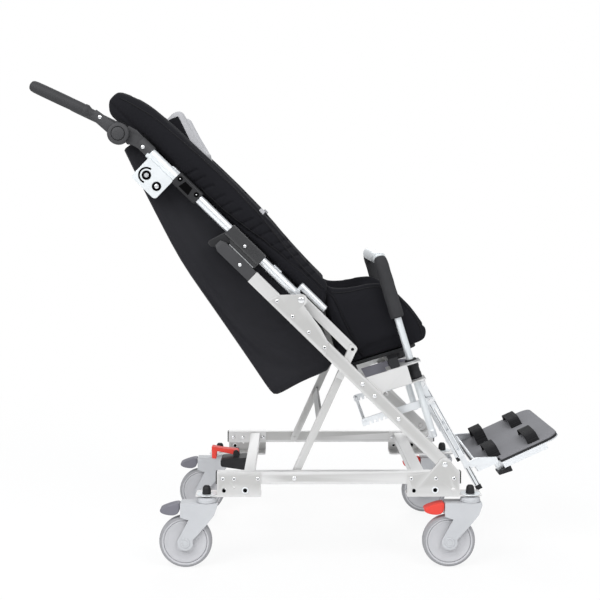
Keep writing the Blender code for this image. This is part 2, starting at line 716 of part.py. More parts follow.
def leg_plug(sign):
    """The black plug that closes the leg's top, its spigot inside the tube."""
    half = LEG_WIDTH / 2 - 0.001
    low, high = span(sign, RAIL_INNER + 0.001, RAIL_OUTER - 0.001)
    inset = LEG_WALL + GAP - 0.001
    start = -LEG_LENGTH - GAP
    rings = []
    for x, shrink in ((start + PLUG_SPIGOT, inset), (start, inset), (start, 0.0),
                      (start - PLUG_LENGTH + 0.012, 0.0), (start - PLUG_LENGTH, 0.006)):
        ring = rectangle(low + shrink, high - shrink, -half + shrink, half - shrink)
        rings.append([(x, y, z) for y, z in ring])
    return loft(rings)


def make_strut(finish, root):
    """Both struts and the brace between them, welded into one frame that turns on the base."""
    slope = math.atan2(link_end()[1] - STRUT_PIVOT_Z, link_end()[0] - STRUT_PIVOT_X)
    length = math.hypot(link_end()[1] - STRUT_PIVOT_Z, link_end()[0] - STRUT_PIVOT_X)
    frame = empty("strut_pivot", (STRUT_PIVOT_X, 0, STRUT_PIVOT_Z), -slope, root)
    half = STRUT_WIDTH / 2
    near, far = ARM_PLANE - ARM_DEPTH / 2, ARM_PLANE + ARM_DEPTH / 2
    brace = box((BRACE_REACH - BRACE_WIDTH / 2, -ARM_PLANE, -BRACE_DEPTH / 2),
                (BRACE_REACH + BRACE_WIDTH / 2, ARM_PLANE, BRACE_DEPTH / 2))
    made = node("rear_strut_frame", brace, finish["satin"], frame)
    bar_end = length - STRUT_SHORT
    clip_start = bar_end - 0.030
    for side, sign in SIDES:
        outline = [(bar_end, half), *arc((0, 0), half, 90, 270, 8), (bar_end, -half)]
        boolean(made, "UNION", slab(outline, *span(sign, near, far), [hole(0, 0, PIN_RADIUS + RUN)]))
        cheek = [(clip_start, -half), *arc((length, 0), LINK_WIDTH / 2, -60, 60, 6), (clip_start, half)]
        inside, outside = near - EAR_GAP, far + EAR_GAP
        eye = [hole(length, 0, LINK_HOLE, 8)]
        boolean(made, "UNION", slab(cheek, *span(sign, inside - EAR, near + WELD), eye))
        boolean(made, "UNION", slab(cheek, *span(sign, far - WELD, outside + EAR), eye))
        slot = rectangle(bar_end, length + 0.03, -half - 0.01, half + 0.01)
        boolean(made, "DIFFERENCE", slab(slot, *span(sign, inside, outside)))
    return frame


def along_leg(along, offset):
    """World x and z of a point counted up the leg and square to it."""
    x = LEG_PIVOT_X - along * math.cos(LEG_SLOPE) + offset * math.sin(LEG_SLOPE)
    z = LEG_PIVOT_Z + along * math.sin(LEG_SLOPE) + offset * math.cos(LEG_SLOPE)
    return x, z


def link_end():
    """Where the link arm meets the strut."""
    return along_leg(HINGE_REACH - LINK_LENGTH, BACK_OFFSET)


def make_links(finish, frame):
    """Each link arm is its own piece on the back hinge. Here x runs down the leg from that hinge."""
    for side, sign in SIDES:
        outline = capsule((0, 0), (LINK_LENGTH, 0), LINK_WIDTH / 2)
        plane = span(sign, ARM_PLANE - ARM_DEPTH / 2, ARM_PLANE + ARM_DEPTH / 2)
        holes = [hole(0, 0, PIN_RADIUS + RUN), hole(LINK_LENGTH, 0, LINK_HOLE, 8)]
        node(f"link_arm_{side}", slab(outline, *plane, holes), finish["satin"], frame)


# Back frame: x runs down the leg's line from the back hinge, z square to it

def up(along):
    """x in the back frame of a point counted up the leg's line."""
    return HINGE_REACH - along


def make_back_frame(finish, frame):
    """Two tubes with forked feet on the hinge pins, joined by two bars, and what is clamped to them."""
    tubes, ears, stubs, bars = [], [], [], []
    foot = -LINK_WIDTH / 2 - 0.0020
    near, far = ARM_PLANE - ARM_DEPTH / 2 - EAR_GAP, ARM_PLANE + ARM_DEPTH / 2 + EAR_GAP
    top = CUSHION_BASE - BACK_OFFSET - GAP
    for side, sign in SIDES:
        middle = sign * ARM_PLANE
        tubes.append(rod((foot, middle, 0), (up(TUBE_TOP), middle, 0), TUBE_RADIUS, 12))
        ear = [(foot - 0.012, -0.0085), *arc((0, 0), 0.0085, -90, 90, 6), (foot - 0.012, 0.0085)]
        for inner, outer in ((near - EAR, near), (far, far + EAR)):
            ears.append(slab(ear, *span(sign, inner, outer), [hole(0, 0, PIN_RADIUS + RUN)]))
        seat = top + STUB_RADIUS - 1.5 * WELD
        stubs.append(rod((up(STUB_LOW), sign * STUB_PLANE, seat), (up(STUB_HIGH), sign * STUB_PLANE, seat),
                         STUB_RADIUS, 10))
    reach = ARM_PLANE - TUBE_RADIUS / 2
    for along in BACK_BARS:
        bars.append(box((up(along) - BACK_BAR_WIDTH / 2, -reach, top - BACK_BAR_DEPTH),
                        (up(along) + BACK_BAR_WIDTH / 2, reach, top)))
    made = node("back_tube_frame", joined(*tubes), finish["zinc"], frame, True)
    for pieces in (ears, bars, stubs):
        boolean(made, "UNION", joined(*pieces))
    for side, sign in SIDES:
        node(f"tube_connector_{side}", connector(sign, sign * ARM_PLANE), finish["black"], frame)
        node(f"accessory_plate_{side}", accessory_plate(sign), finish["zinc"], frame)
        make_handle(finish, frame, side, sign)
        make_latch(finish, frame, side, sign)


def connector(sign, middle):
    """A clamp block round the back tube."""
    half, bore = 0.0165, TUBE_RADIUS + GAP
    low, high = span(sign, ARM_PLANE - 0.0135, ARM_PLANE + 0.0165)
    outline = rounded(rectangle(low, high, -half, half), 0.005, 2)
    return slab(outline, up(CONNECTOR_HIGH), up(CONNECTOR_LOW), [hole(middle, 0, bore, 12)], "x")


def accessory_plate(sign):
    """A drilled plate with a curved slot, carried beside the tube."""
    low, high = -ACCESSORY_DROP - BACK_OFFSET, 0.0235 - BACK_OFFSET
    face = ARM_PLANE + TUBE_RADIUS + GAP
    bolt, ring = (up(0.9690), -0.0034 - BACK_OFFSET), (up(0.9345), -0.0056 - BACK_OFFSET)
    outline = [(up(ACCESSORY_HIGH), low), (up(ACCESSORY_LOW), low), (up(ACCESSORY_LOW), high),
               (up(0.930), high), (up(0.933), 0.008), (up(0.968), 0.008), (up(0.971), high),
               (up(ACCESSORY_HIGH), high)]
    slot = arc(bolt, 0.0185, 120, 230, 8) + arc(bolt, 0.0135, 230, 120, 8)
    holes = [hole(*bolt, 0.0050), hole(*ring, 0.0055), slot]
    return slab(outline, *span(sign, face, face + PLATE), holes)


def make_handle(finish, frame, side, sign):
    """The handle's mount on the tube, the turning handle, its grip and its button."""
    middle = sign * ARM_PLANE
    hinge = (up(HANDLE_HINGE_ALONG), HANDLE_HINGE_OFFSET - BACK_OFFSET)
    socket = TUBE_RADIUS + 0.0035
    mount_in, mount_out = ARM_PLANE - TUBE_RADIUS - 0.003, ARM_PLANE - 0.0025
    arm = capsule((up(TUBE_TOP), 0), hinge, 0.0125, 6)
    made = node(f"handle_mount_{side}", slab(arm, *span(sign, mount_in, mount_out)), finish["black"], frame)
    boolean(made, "UNION", rod((up(0.998), middle, 0), (up(TUBE_TOP + 0.004), middle, 0), socket, 14))
    boolean(made, "UNION", slab(hole(*hinge, HANDLE_DISC - 0.002, 18), *span(sign, mount_in, mount_out)))
    room = rod((up(0.98), middle, 0), (up(TUBE_TOP) - GAP, middle, 0), TUBE_RADIUS + GAP, 12)
    boolean(made, "DIFFERENCE", room)
    clear = ARM_PLANE - 0.0025 + GAP

    pivot = empty(f"handle_hinge_{side}", (hinge[0], 0, hinge[1]), -LEG_SLOPE, frame)
    face = ARM_PLANE + 0.0135
    plate = slab(hole(0, 0, HANDLE_DISC, 18), *span(sign, clear, face))
    disc = node(f"push_handle_{side}", plate, finish["black"], pivot)
    start = Vector((GRIP_START[0], middle, GRIP_START[1]))
    along = Vector((-math.cos(GRIP_RISE), 0, math.sin(GRIP_RISE)))
    arm = [(0.004, 0.0145), (-0.016, -0.0110), (GRIP_START[0] - 0.0035, GRIP_START[1] - 0.0075),
           (GRIP_START[0] + 0.0035, GRIP_START[1] + 0.0075)]
    boolean(disc, "UNION", slab(arm, *span(sign, ARM_PLANE - 0.0085, ARM_PLANE + 0.0085)))
    recess = rod((0, sign * (face - BUTTON_RECESS), 0), (0, sign * (face + 0.01), 0),
                 BUTTON_RADIUS + 2 * RUN, 12)
    boolean(disc, "DIFFERENCE", recess)
    boolean(disc, "DIFFERENCE", slab(hole(0, 0, HANDLE_DISC, 18), *span(sign, ARM_PLANE - 0.02, clear)))

    grip = [(0.0, -0.006), (ROD_RADIUS, -0.006), (0.0100, 0.0), (0.0115, 0.012), (0.0160, 0.022),
            (0.0160, 0.028), (GRIP_RADIUS, 0.036), (GRIP_RADIUS - 0.0007, 0.090),
            (GRIP_RADIUS, GRIP_LENGTH - 0.014), (0.0090, GRIP_LENGTH - 0.003), (0.0, GRIP_LENGTH)]
    boolean(disc, "UNION", moved(turned(grip, 12), start, along))

    base = sign * (face - BUTTON_RECESS + BUTTON_TRAVEL + GAP)
    height = BUTTON_STAND + BUTTON_RECESS - BUTTON_TRAVEL
    profile = [(0.0, 0.0), (BUTTON_RADIUS, 0.0), (BUTTON_RADIUS, height * 0.7),
               (BUTTON_RADIUS * 0.85, height), (0.0, height)]
    button = moved(turned(profile, 12), (0, base, 0), (0, sign, 0))
    node(f"handle_button_{side}", button, finish["black"], pivot, True)


def make_latch(finish, frame, side, sign):
    """The sliding sleeve on the back tube, with the lever that the hand pulls."""
    middle = sign * ARM_PLANE
    low, high = span(sign, ARM_PLANE - LATCH_INNER, ARM_PLANE + LATCH_RADIUS)
    bore = [hole(middle, 0, TUBE_RADIUS + GAP, 12)]
    outline = rounded(rectangle(low, high, -LATCH_RADIUS, LATCH_RADIUS), 0.006, 2)
    made = node(f"fold_latch_{side}", slab(outline, up(LATCH_LOW + LATCH_LENGTH), up(LATCH_LOW), bore, "x"),
                finish["black"], frame)
    top = up(LATCH_LOW + LATCH_LENGTH)
    root = -LATCH_RADIUS + 0.002
    lever = [(top + 0.022, root), (top, root), (top - 0.012, -LEVER_REACH + 0.012),
             (top - 0.014, -LEVER_REACH), (top - 0.007, -LEVER_REACH - 0.001),
             (top + 0.006, -LEVER_REACH + 0.018)]
    boolean(made, "UNION", slab(lever, *span(sign, ARM_PLANE - 0.0075, ARM_PLANE + 0.0105)))


# Seat frame: x runs forward along the seat and z square to it, from the middle of the post bush

def make_seat_frame(finish, frame):
    shelf_top = BUSH_HALF + FLANGE + 2 * GAP
    end = shelf_top + COLLAR
    bore = POST_RADIUS + RUN
    half_bush = [(bore, end), (COLLAR_RADIUS, end), (COLLAR_RADIUS, shelf_top), (BUSH_NECK, shelf_top),
                 (BUSH_NECK, BUSH_HALF), (BUSH_RADIUS, BUSH_HALF)]
    ring = half_bush + [(radius, -height) for radius, height in reversed(half_bush)]
    for side, sign in SIDES:
        make_seat_bracket(finish, frame, side, sign)
        bush = moved(turned(ring, 10), (0, sign * POST_PLANE, 0))
        node(f"post_bush_{side}", bush, finish["black"], frame, True)
    reach = RAIL_INNER - GAP
    beams = [box((low, -reach, shelf_top), (high, reach, BEAM_TOP)) for low, high in SEAT_BEAMS]
    pan = rounded(rectangle(SEAT_REAR - 0.015, SEAT_NOSE - 0.030, -PAN_HALF, PAN_HALF), 0.03, 4)
    made = node("seat_pan", joined(*beams), finish["black"], frame)
    boolean(made, "UNION", slab(pan, BEAM_TOP - WELD, BEAM_TOP + PAN_DEPTH, (), "z"))


def make_seat_bracket(finish, frame, side, sign):
    """A plate on the leg's inner face, with two shelves that hold the bush and an ear for the leg rest."""
    half = BRACKET_HALF
    outline = rounded([(BRACKET_FRONT, half), (BRACKET_REAR, half), *BRACKET_FOOT, (BRACKET_HEEL, -half),
                       (BRACKET_FRONT, -half)], 0.004, 2)
    face = RAIL_INNER - GAP
    plate = slab(outline, *span(sign, face - BRACKET_PLATE, face))
    made = node(f"seat_bracket_{side}", plate, finish["satin"], frame)
    shelf = rounded(rectangle(SHELF_REAR, SHELF_FRONT, *span(sign, FLANGE_INNER, face - WELD)), 0.006, 2)
    post = [hole(0, sign * POST_PLANE, BUSH_NECK + RUN, 10)]
    for low in (BUSH_HALF + GAP, -BUSH_HALF - GAP - FLANGE):
        boolean(made, "UNION", slab(shelf, low, low + FLANGE, post, "z"))
    ear = [(LEGREST_PIVOT[0] - 0.010, -BUSH_HALF - 0.001), *arc(LEGREST_PIVOT, 0.010, 180, 360, 6),
           (LEGREST_PIVOT[0] + 0.010, -BUSH_HALF - 0.001)]
    boolean(made, "UNION", slab(ear, *span(sign, *LEGREST_EAR),
                                [hole(*LEGREST_PIVOT, PIN_RADIUS + RUN)]))


def make_grab_bar(finish, frame):
    """A U of tube whose posts slide in the bushes, with foam on both posts."""
    top = POST_TOP
    route = [(0, -POST_PLANE, POST_BOTTOM), (0, -POST_PLANE, top - BAR_BEND)]
    for y, z in reversed(arc((-POST_PLANE + BAR_BEND, top - BAR_BEND), BAR_BEND, 90, 180, 5)[:-1]):
        route.append((0, y, z))
    for y, z in reversed(arc((POST_PLANE - BAR_BEND, top - BAR_BEND), BAR_BEND, 0, 90, 5)):
        route.append((0, y, z))
    route.append((0, POST_PLANE, POST_BOTTOM))
    made = node("grab_bar", bar_in_plane(route, POST_RADIUS), finish["zinc"], frame, True)
    profile = [(0.0, -0.008), (0.008, -0.008), (0.0105, -0.004), (0.0105, 0.012), (0.0, 0.012)]
    caps = [moved(turned(profile, 12), (0, sign * POST_PLANE, POST_BOTTOM)) for side, sign in SIDES]
    boolean(made, "UNION", joined(*caps))
    for side, sign in SIDES:
        foam = sleeve((0, sign * POST_PLANE, FOAM_LOW), (0, sign * POST_PLANE, FOAM_HIGH), FOAM_RADIUS,
                      POST_RADIUS + GAP, 14)
        node(f"grab_bar_foam_{side}", foam, finish["foam"], frame, True)


def bar_in_plane(points, radius, sides=10):
    """A round bar along points that all lie in the plane x = 0, with true mitred rings."""
    points = [Vector(point) for point in points]
    sections = []
    for index, point in enumerate(points):
        along = (points[min(index + 1, len(points) - 1)] - points[max(index - 1, 0)]).normalized()
        across = Vector((1, 0, 0))
        out = along.cross(across)
        ring = []
        for step in range(sides):
            angle = 2 * math.pi * step / sides
            ring.append(point + across * (radius * math.cos(angle)) + out * (radius * math.sin(angle)))
        sections.append(ring)
    return loft(sections)


# Cushions

def make_seat_cushion(finish, frame):
    """A bucket seat: a crowned middle between two side walls that fall away to the knees."""
    base = BEAM_TOP + PAN_DEPTH + GAP
    steps = 15
    sections = []
    for step in range(steps):
        t = step / (steps - 1)
        x = SEAT_REAR + (SEAT_NOSE - SEAT_REAR) * t
        if x < SEAT_SIDE_BREAK:
            share = (x - SEAT_REAR) / (SEAT_SIDE_BREAK - SEAT_REAR)
            wall = SEAT_SIDE_REAR + (SEAT_SIDE_FRONT - SEAT_SIDE_REAR) * share
        else:
            share = (x - SEAT_SIDE_BREAK) / (SEAT_NOSE - SEAT_SIDE_BREAK)
            fall = base + SEAT_DEPTH * 0.75 - SEAT_SIDE_FRONT
            wall = SEAT_SIDE_FRONT + fall * blend(0.0, 1.0, share * 0.94)
        ends = 1.0 - 0.05 * (1 - blend(0.0, 0.10, t)) - 0.10 * (1 - blend(0.0, 0.14, 1 - t))
        ring = bucket_ring(x, base, SEAT_HALF * ends, base + SEAT_DEPTH * (0.9 + 0.1 * ends), wall, SEAT_WALL)
        lean = SEAT_LEAN * (1 - t) / (SEAT_SIDE_REAR - base)
        sections.append([(a - lean * (SEAT_SIDE_REAR - c), b, c) for a, b, c in ring])
    node("seat_cushion", loft(sections), finish["fabric"], frame, True)


def bucket_ring(x, base, half, middle, wall, width):
    """One cross-section of a bucket: flat below, drawn-in sides, round wall tops, crowned middle."""
    wall = max(wall, middle)
    floor = half - width
    right = [(-half * 0.97, base), (-half, base + (wall - base) * 0.25),
             (-half * 0.985, base + (wall - base) * 0.6), (-half * 0.99, wall - width * 0.35),
             (-half + width * 0.28, wall - 0.001), (-half + width * 0.72, wall - 0.003),
             (-floor - 0.001, wall - width * 0.45), (-floor, middle + (wall - middle) * 0.35),
             (-floor * 0.94, middle - 0.004), (-floor * 0.5, middle + 0.003)]
    left = [(-y, z) for y, z in reversed(right)]
    points = right + [(0.0, middle + CROWN)] + left + [(half * 0.4, base), (-half * 0.4, base)]
    return [(x, y, z) for y, z in points]


def make_back_cushion(finish, frame):
    """A tall padded back: bolsters down both sides, a crowned middle with sewn channels across it."""
    base = CUSHION_BASE - BACK_OFFSET
    length = CUSHION_HIGH - CUSHION_LOW
    rows = []
    for channel in range(CHANNELS + 1):
        centre = (channel + 0.5) / (CHANNELS + 1)
        for offset, depth in ((-0.016, 0.0), (0.0, 1.0), (0.016, 0.0)):
            rows.append((centre + offset, depth))
    rows = [(0.0, 0.3), (0.018, 0.0), *rows, (0.982, 0.0), (1.0, 0.3)]
    sections = []
    for share, seam in rows:
        along = CUSHION_LOW + length * share
        ends = 1.0 - 0.30 * (1 - blend(0.0, 0.035, share)) - 0.30 * (1 - blend(0.0, 0.05, 1 - share))
        narrow = 1.0 - 0.14 * blend(0.72, 1.0, share) ** 2
        dip = seam * CHANNEL_DEPTH
        bolster = BOLSTER * (1.0 - 0.22 * blend(0.75, 1.0, share))
        middle = base + (CUSHION_MIDDLE - dip) * ends
        wall = base + (bolster - dip * 0.4) * ends
        ring = bucket_ring(up(along), base, CUSHION_HALF * narrow, middle, wall, BOLSTER_WIDTH)
        toe = CUSHION_TOE * (1 - blend(0.0, 0.25, share)) / BOLSTER
        sections.append([(a + toe * max(0.0, base + BOLSTER - c), b, c) for a, b, c in ring])
    node("back_cushion", loft(sections), finish["fabric"], frame, True)


def make_headrest(finish, frame):
    """A padded cradle on a curved bracket, in front of the back cushion."""
    base = HEADREST_BASE - BACK_OFFSET
    steps = 11
    sections = []
    for step in range(steps):
        share = step / (steps - 1)
        ends = 1.0 - 0.34 * (1 - blend(0.0, 0.22, share)) - 0.34 * (1 - blend(0.0, 0.22, 1 - share))
        along = HEADREST_LOW + (HEADREST_HIGH - HEADREST_LOW) * share
        half = HEADREST_HALF * (0.94 + 0.06 * ends)
        middle, wing = base + HEADREST_THICK * ends, base + HEADREST_WING * ends
        sections.append(bucket_ring(up(along), base, half, middle, wing, 0.036))
    node("headrest_pad", loft(sections), finish["grey"], frame, True)


def make_bag(finish, frame):
    """A cloth bag behind the back, open at its top between the handles."""
    outer = [(BAG_TOP, BAG_FRONT), *BAG_REAR, *BAG_FLOOR, (BAG_FOOT, BAG_FRONT)]
    inner = inset(outer, [-BAG_MOUTH] + [BAG_CLOTH] * (len(outer) - 1))
    skin = slab([(up(along), z) for along, z in outer], -BAG_HALF, BAG_HALF)
    made = node("storage_bag", skin, finish["fabric"], frame)
    room = slab([(up(along), z) for along, z in inner], -BAG_HALF + BAG_CLOTH, BAG_HALF - BAG_CLOTH)
    boolean(made, "DIFFERENCE", room)


def inset(points, depths):
    """Move each side of an outline inward by its own depth; side i goes from point i to the next one."""
    lines = []
    turn = sum(a[0] * b[1] - b[0] * a[1] for a, b in zip(points, points[1:] + points[:1]))
    for first, second, depth in zip(points, points[1:] + points[:1], depths):
        first, way = Vector(first), (Vector(second) - Vector(first)).normalized()
        inward = Vector((-way.y, way.x)) if turn > 0 else Vector((way.y, -way.x))
        lines.append((first + inward * depth, way))
    result = []
    for (before, before_way), (after, after_way) in zip(lines[-1:] + lines[:-1], lines):
        gap = after - before
        share = (gap.x * after_way.y - gap.y * after_way.x) / before_way.cross(after_way)
        corner = before + before_way * share
        result.append((corner.x, corner.y))
    return result


# Leg rest: x runs down the rails from their pivot, z square to them towards the front

def make_leg_rest(finish, seat):
    frame = empty("leg_rest_pivot", (LEGREST_PIVOT[0], 0, LEGREST_PIVOT[1]),
                  math.pi / 2 - LEGREST_LEAN + SEAT_TILT, seat)
    half = LEGREST_RAIL_WIDTH / 2
    near, far = RAIL_OUT - LEGREST_RAIL_DEPTH / 2, RAIL_OUT + LEGREST_RAIL_DEPTH / 2
    rails, pins = [], []
    for side, sign in SIDES:
        outline = [(LEGREST_RAIL_LENGTH, half), *arc((0, 0), half, 90, 270, 8), (LEGREST_RAIL_LENGTH, -half)]
        slot = capsule((SLOT_LOW, 0), (SLOT_HIGH, 0), SLOT_WIDTH / 2, 4)
        rails.append(slab(outline, *span(sign, near, far), [slot]))
        pins.append(headed_pin(sign, 0, 0, LEGREST_EAR[1] + GAP, far - WELD))
        pins.append(headed_pin(sign, RACK_ALONG, 0, RACK_PLANE + RACK_PLATE / 2 + GAP, far - WELD, RACK_PIN))
    made = node("leg_rest_frame", joined(*rails), finish["zinc"], frame)
    boolean(made, "UNION", joined(*pins))
    reach = near + WELD
    boolean(made, "UNION", rod((TIE_ALONG, -reach, 0), (TIE_ALONG, reach, 0), 0.006, 10))
    make_rack(finish, frame)
    make_extension(finish, frame, near)


def make_rack(finish, leg_rest):
    """Two toothed bars joined by a rod: lifted off the pegs, they let the leg rest swing."""
    lean = math.pi / 2 - LEGREST_LEAN
    frame = empty("rack_pivot", (RACK_ALONG, 0, 0), -lean - RACK_RISE, leg_rest)
    half = RACK_WIDTH / 2
    bars = []
    end = -RACK_LENGTH
    teeth = []
    for tooth in range(RACK_TEETH):
        left = end + 0.012 + tooth * TOOTH_PITCH
        tip = -half + TOOTH_DEPTH
        teeth += [(left, -half), (left + 0.002, tip), (left + 0.006, tip), (left + 0.006, -half)]
    outline = [*arc((0, 0), half, -90, 90, 6), (end, half), (end - 0.004, half - 0.004),
               (end - 0.004, -half), *teeth]
    for side, sign in SIDES:
        plane = span(sign, RACK_PLANE - RACK_PLATE / 2, RACK_PLANE + RACK_PLATE / 2)
        bars.append(slab(outline, *plane, [hole(0, 0, RACK_PIN + RUN)]))
    made = node("leg_rest_rack", joined(*bars), finish["zinc"], frame)
    reach = RACK_PLANE + RACK_PLATE / 2 + 0.002
    boolean(made, "UNION", rod((end + 0.003, -reach, 0), (end + 0.003, reach, 0), 0.0040, 10))


def make_extension(finish, leg_rest, rail_inner):
    """The sliding bars that set the footplate's height, their bolts in the rails' slots."""
    half = EXTENSION_WIDTH / 2
    far = rail_inner - RUN
    near = far - EXTENSION_DEPTH
    foot = (FOOT_HINGE_ALONG, FOOT_HINGE_OUT)
    bars, lugs, bolts = [], [], []
    for side, sign in SIDES:
        outline = rounded(rectangle(EXTENSION_LOW, EXTENSION_HIGH, -half, half), 0.003, 2)
        bars.append(slab(outline, *span(sign, near, far)))
        lugs.append(slab(capsule((FOOT_HINGE_ALONG, 0), foot, 0.0085, 5), *span(sign, near, far - GAP)))
        for along in EXTENSION_BOLTS:
            face = RAIL_OUT + LEGREST_RAIL_DEPTH / 2 + GAP
            bolts.append(headed_pin(sign, along, 0, face, far - WELD, BOLT_RADIUS))
    made = node("foot_extension", joined(*bars), finish["zinc"], leg_rest)
    boolean(made, "UNION", joined(*lugs))
    boolean(made, "UNION", joined(*bolts))
    reach = near + WELD
    boolean(made, "UNION", rod((foot[0], -reach, foot[1]), (foot[0], reach, foot[1]), FOOT_PIN, 10))
    make_footplate(finish, leg_rest, foot, near)


def make_footplate(finish, leg_rest, foot, lug_near):
    """Plate, mat and foot straps on a hinge rod; here x runs out along the plate and z up from it."""
    lean = math.pi / 2 - LEGREST_LEAN
    frame = empty("footplate_hinge", (foot[0], 0, foot[1]), -lean - FOOT_RISE, leg_rest)
    outer = lug_near - RUN
    inner = outer - FOOT_LUG
    top = -FOOT_DROP
    low = top - FOOT_PLATE
    tray = slab(foot_outline(inner + 0.5 * FOOT_LUG, 0.0), low, top, (), "z")
    plate = node("footplate", tray, finish["zinc"], frame)
    for side, sign in SIDES:
        lug = [(FOOT_START + 0.002, low + 0.0005), (FOOT_NOTCH - 0.003, low + 0.0005),
               (FOOT_NOTCH - 0.003, top + 0.012), *arc((0, 0), 0.0085, 60, 190, 6)]
        boolean(plate, "UNION", slab(lug, *span(sign, inner, outer), [hole(0, 0, FOOT_PIN + RUN)]))
        stop = [(FOOT_STOP[0], low + WELD), (FOOT_STOP[1], low + WELD), (FOOT_STOP[1], low - 0.031),
                (FOOT_STOP[0], low - 0.027)]
        boolean(plate, "UNION", slab(stop, *span(sign, inner - 0.030, inner - 0.006)))
        skirt_low, skirt_high = span(sign, FOOT_HALF - FOOT_PLATE, FOOT_HALF - GAP)
        boolean(plate, "UNION", box((FOOT_NOTCH + 0.003, skirt_low, low - FOOT_SKIRT),
                                    (FOOT_LENGTH - FOOT_CORNER - 0.005, skirt_high, low + WELD)))
    mat_outline = foot_outline(inner - 0.002, 0.002)
    base = top + GAP
    made = node("footplate_mat", slab(mat_outline, base, base + FOOT_PAD, (), "z"), finish["mat"], frame)
    straps = []
    for x, y in STRAP_PLACES:
        straps += [foot_strap(x, sign * y, base + FOOT_PAD - WELD) for side, sign in SIDES]
    boolean(made, "UNION", joined(*straps))


def foot_outline(neck, inset):
    """The plate's outline: a neck between the lugs, then the full width with round front corners."""
    half, end, corner = FOOT_HALF - inset, FOOT_LENGTH - inset, FOOT_CORNER - inset
    notch = FOOT_NOTCH + inset
    start = FOOT_START + inset
    return [(start, -neck), (notch, -neck), (notch, -half),
            *arc((end - corner, corner - half), corner, -90, 0, 5),
            *arc((end - corner, half - corner), corner, 0, 90, 5), (notch, half), (notch, neck), (start, neck)]


def foot_strap(x, y, base):
    """A strap folded over on itself, lying on the mat."""
    half, height = STRAP_LENGTH / 2, STRAP_HEIGHT
    profile = [(-half, 0.0), (half, 0.0), (half, height * 0.5), (half * 0.75, height * 0.88),
               (half * 0.35, height), (-half * 0.35, height), (-half * 0.75, height * 0.88),
               (-half, height * 0.5)]
    mesh = slab(profile, -STRAP_WIDTH / 2, STRAP_WIDTH / 2, (), "x")
    mesh.transform(Matrix.Translation((x, y, base)))
    return mesh


def build():
    clear_scene()
    finish = make_materials()
    root = empty("stroller", (0, 0, 0))
    make_base(finish, root)
    make_castors(finish, root)
    front = empty("front_frame", (LEG_PIVOT_X, 0, LEG_PIVOT_Z), LEG_SLOPE, root)
    make_front_frame(finish, front)
    make_strut(finish, root)
    back = empty("back_hinge", (-HINGE_REACH, 0, BACK_OFFSET), 0.0, front)
    make_links(finish, back)
    make_back_frame(finish, back)
    make_back_cushion(finish, back)
    make_headrest(finish, back)
    make_bag(finish, back)
    seat = empty("seat_frame", (BUSH_X, 0, BUSH_Z), -SEAT_TILT, root)
    make_seat_frame(finish, seat)
    make_seat_cushion(finish, seat)
    make_grab_bar(finish, seat)
    make_leg_rest(finish, seat)


build()
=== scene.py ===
"""Looks of the special needs stroller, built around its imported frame.

Units are metres. +X is the way the child faces, +Y the stroller's left, +Z up, and the floor is z = 0.
"""
import json
import math
from functools import partialmethod

import bmesh
import bpy
from mathutils import Matrix, Vector
from mathutils.bvhtree import BVHTree

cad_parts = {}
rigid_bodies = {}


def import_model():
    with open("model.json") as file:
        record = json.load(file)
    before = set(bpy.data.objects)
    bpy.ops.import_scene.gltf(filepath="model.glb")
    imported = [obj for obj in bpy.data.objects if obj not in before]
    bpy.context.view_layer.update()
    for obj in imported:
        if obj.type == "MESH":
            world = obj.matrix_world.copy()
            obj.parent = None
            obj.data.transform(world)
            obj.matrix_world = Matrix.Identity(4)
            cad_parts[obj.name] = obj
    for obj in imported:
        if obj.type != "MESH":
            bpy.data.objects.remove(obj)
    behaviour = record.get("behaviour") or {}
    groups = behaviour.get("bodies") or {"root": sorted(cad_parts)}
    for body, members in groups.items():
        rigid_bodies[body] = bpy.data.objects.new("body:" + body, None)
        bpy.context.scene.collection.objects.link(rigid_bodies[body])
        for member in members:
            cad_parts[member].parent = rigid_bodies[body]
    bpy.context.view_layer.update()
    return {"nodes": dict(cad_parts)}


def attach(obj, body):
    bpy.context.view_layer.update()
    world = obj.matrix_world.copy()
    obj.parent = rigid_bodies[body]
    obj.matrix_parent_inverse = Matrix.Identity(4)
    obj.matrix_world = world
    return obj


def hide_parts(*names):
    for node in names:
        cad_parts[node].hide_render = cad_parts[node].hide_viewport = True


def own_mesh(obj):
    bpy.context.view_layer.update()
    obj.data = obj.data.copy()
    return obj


for old in list(bpy.data.objects):
    bpy.data.objects.remove(old)
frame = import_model()

SIDES = (("right", -1), ("left", 1))
CORNERS = (("rear", -0.224), ("front", 0.3975))
UP = (0, 0, 1)


class Plane:
    """An upright plane along the stroller, with two axes of its own."""

    def __init__(self, x, z, first, second):
        self.origin = Vector((x, 0.0, z))
        self.first = first
        self.second = second

    def __call__(self, a, b, y=0.0):
        return Vector((self.origin.x, y, self.origin.z)) + self.first * a + self.second * b

    def terms(self, point):
        """How far a point lies along each of the two axes."""
        local = point - self.origin
        return local.dot(self.first), local.dot(self.second)


in_world = Plane(0.0, 0.0, Vector((1.0, 0.0, 0.0)), Vector(UP))

# Side frame, counted up the leg from its lower pivot and square to it
LEG_FOOT = (0.3356, 0.246)
LEG_SLOPE = math.radians(44.39)
UP_LEG = Vector((-math.cos(LEG_SLOPE), 0.0, math.sin(LEG_SLOPE)))
OFF_LEG = Vector((math.sin(LEG_SLOPE), 0.0, math.cos(LEG_SLOPE)))
on_leg = Plane(*LEG_FOOT, UP_LEG, OFF_LEG)
LEG_FACE = 0.252
BACK_PIVOT = 0.5116
BACK_OFFSET = 0.041
ARM_PLANE = 0.2195
PLATE_FACE = 0.2338
CONNECTOR_FACE = 0.236
LATCH_FACE = 0.2362
PAD_REAR = 0.0545

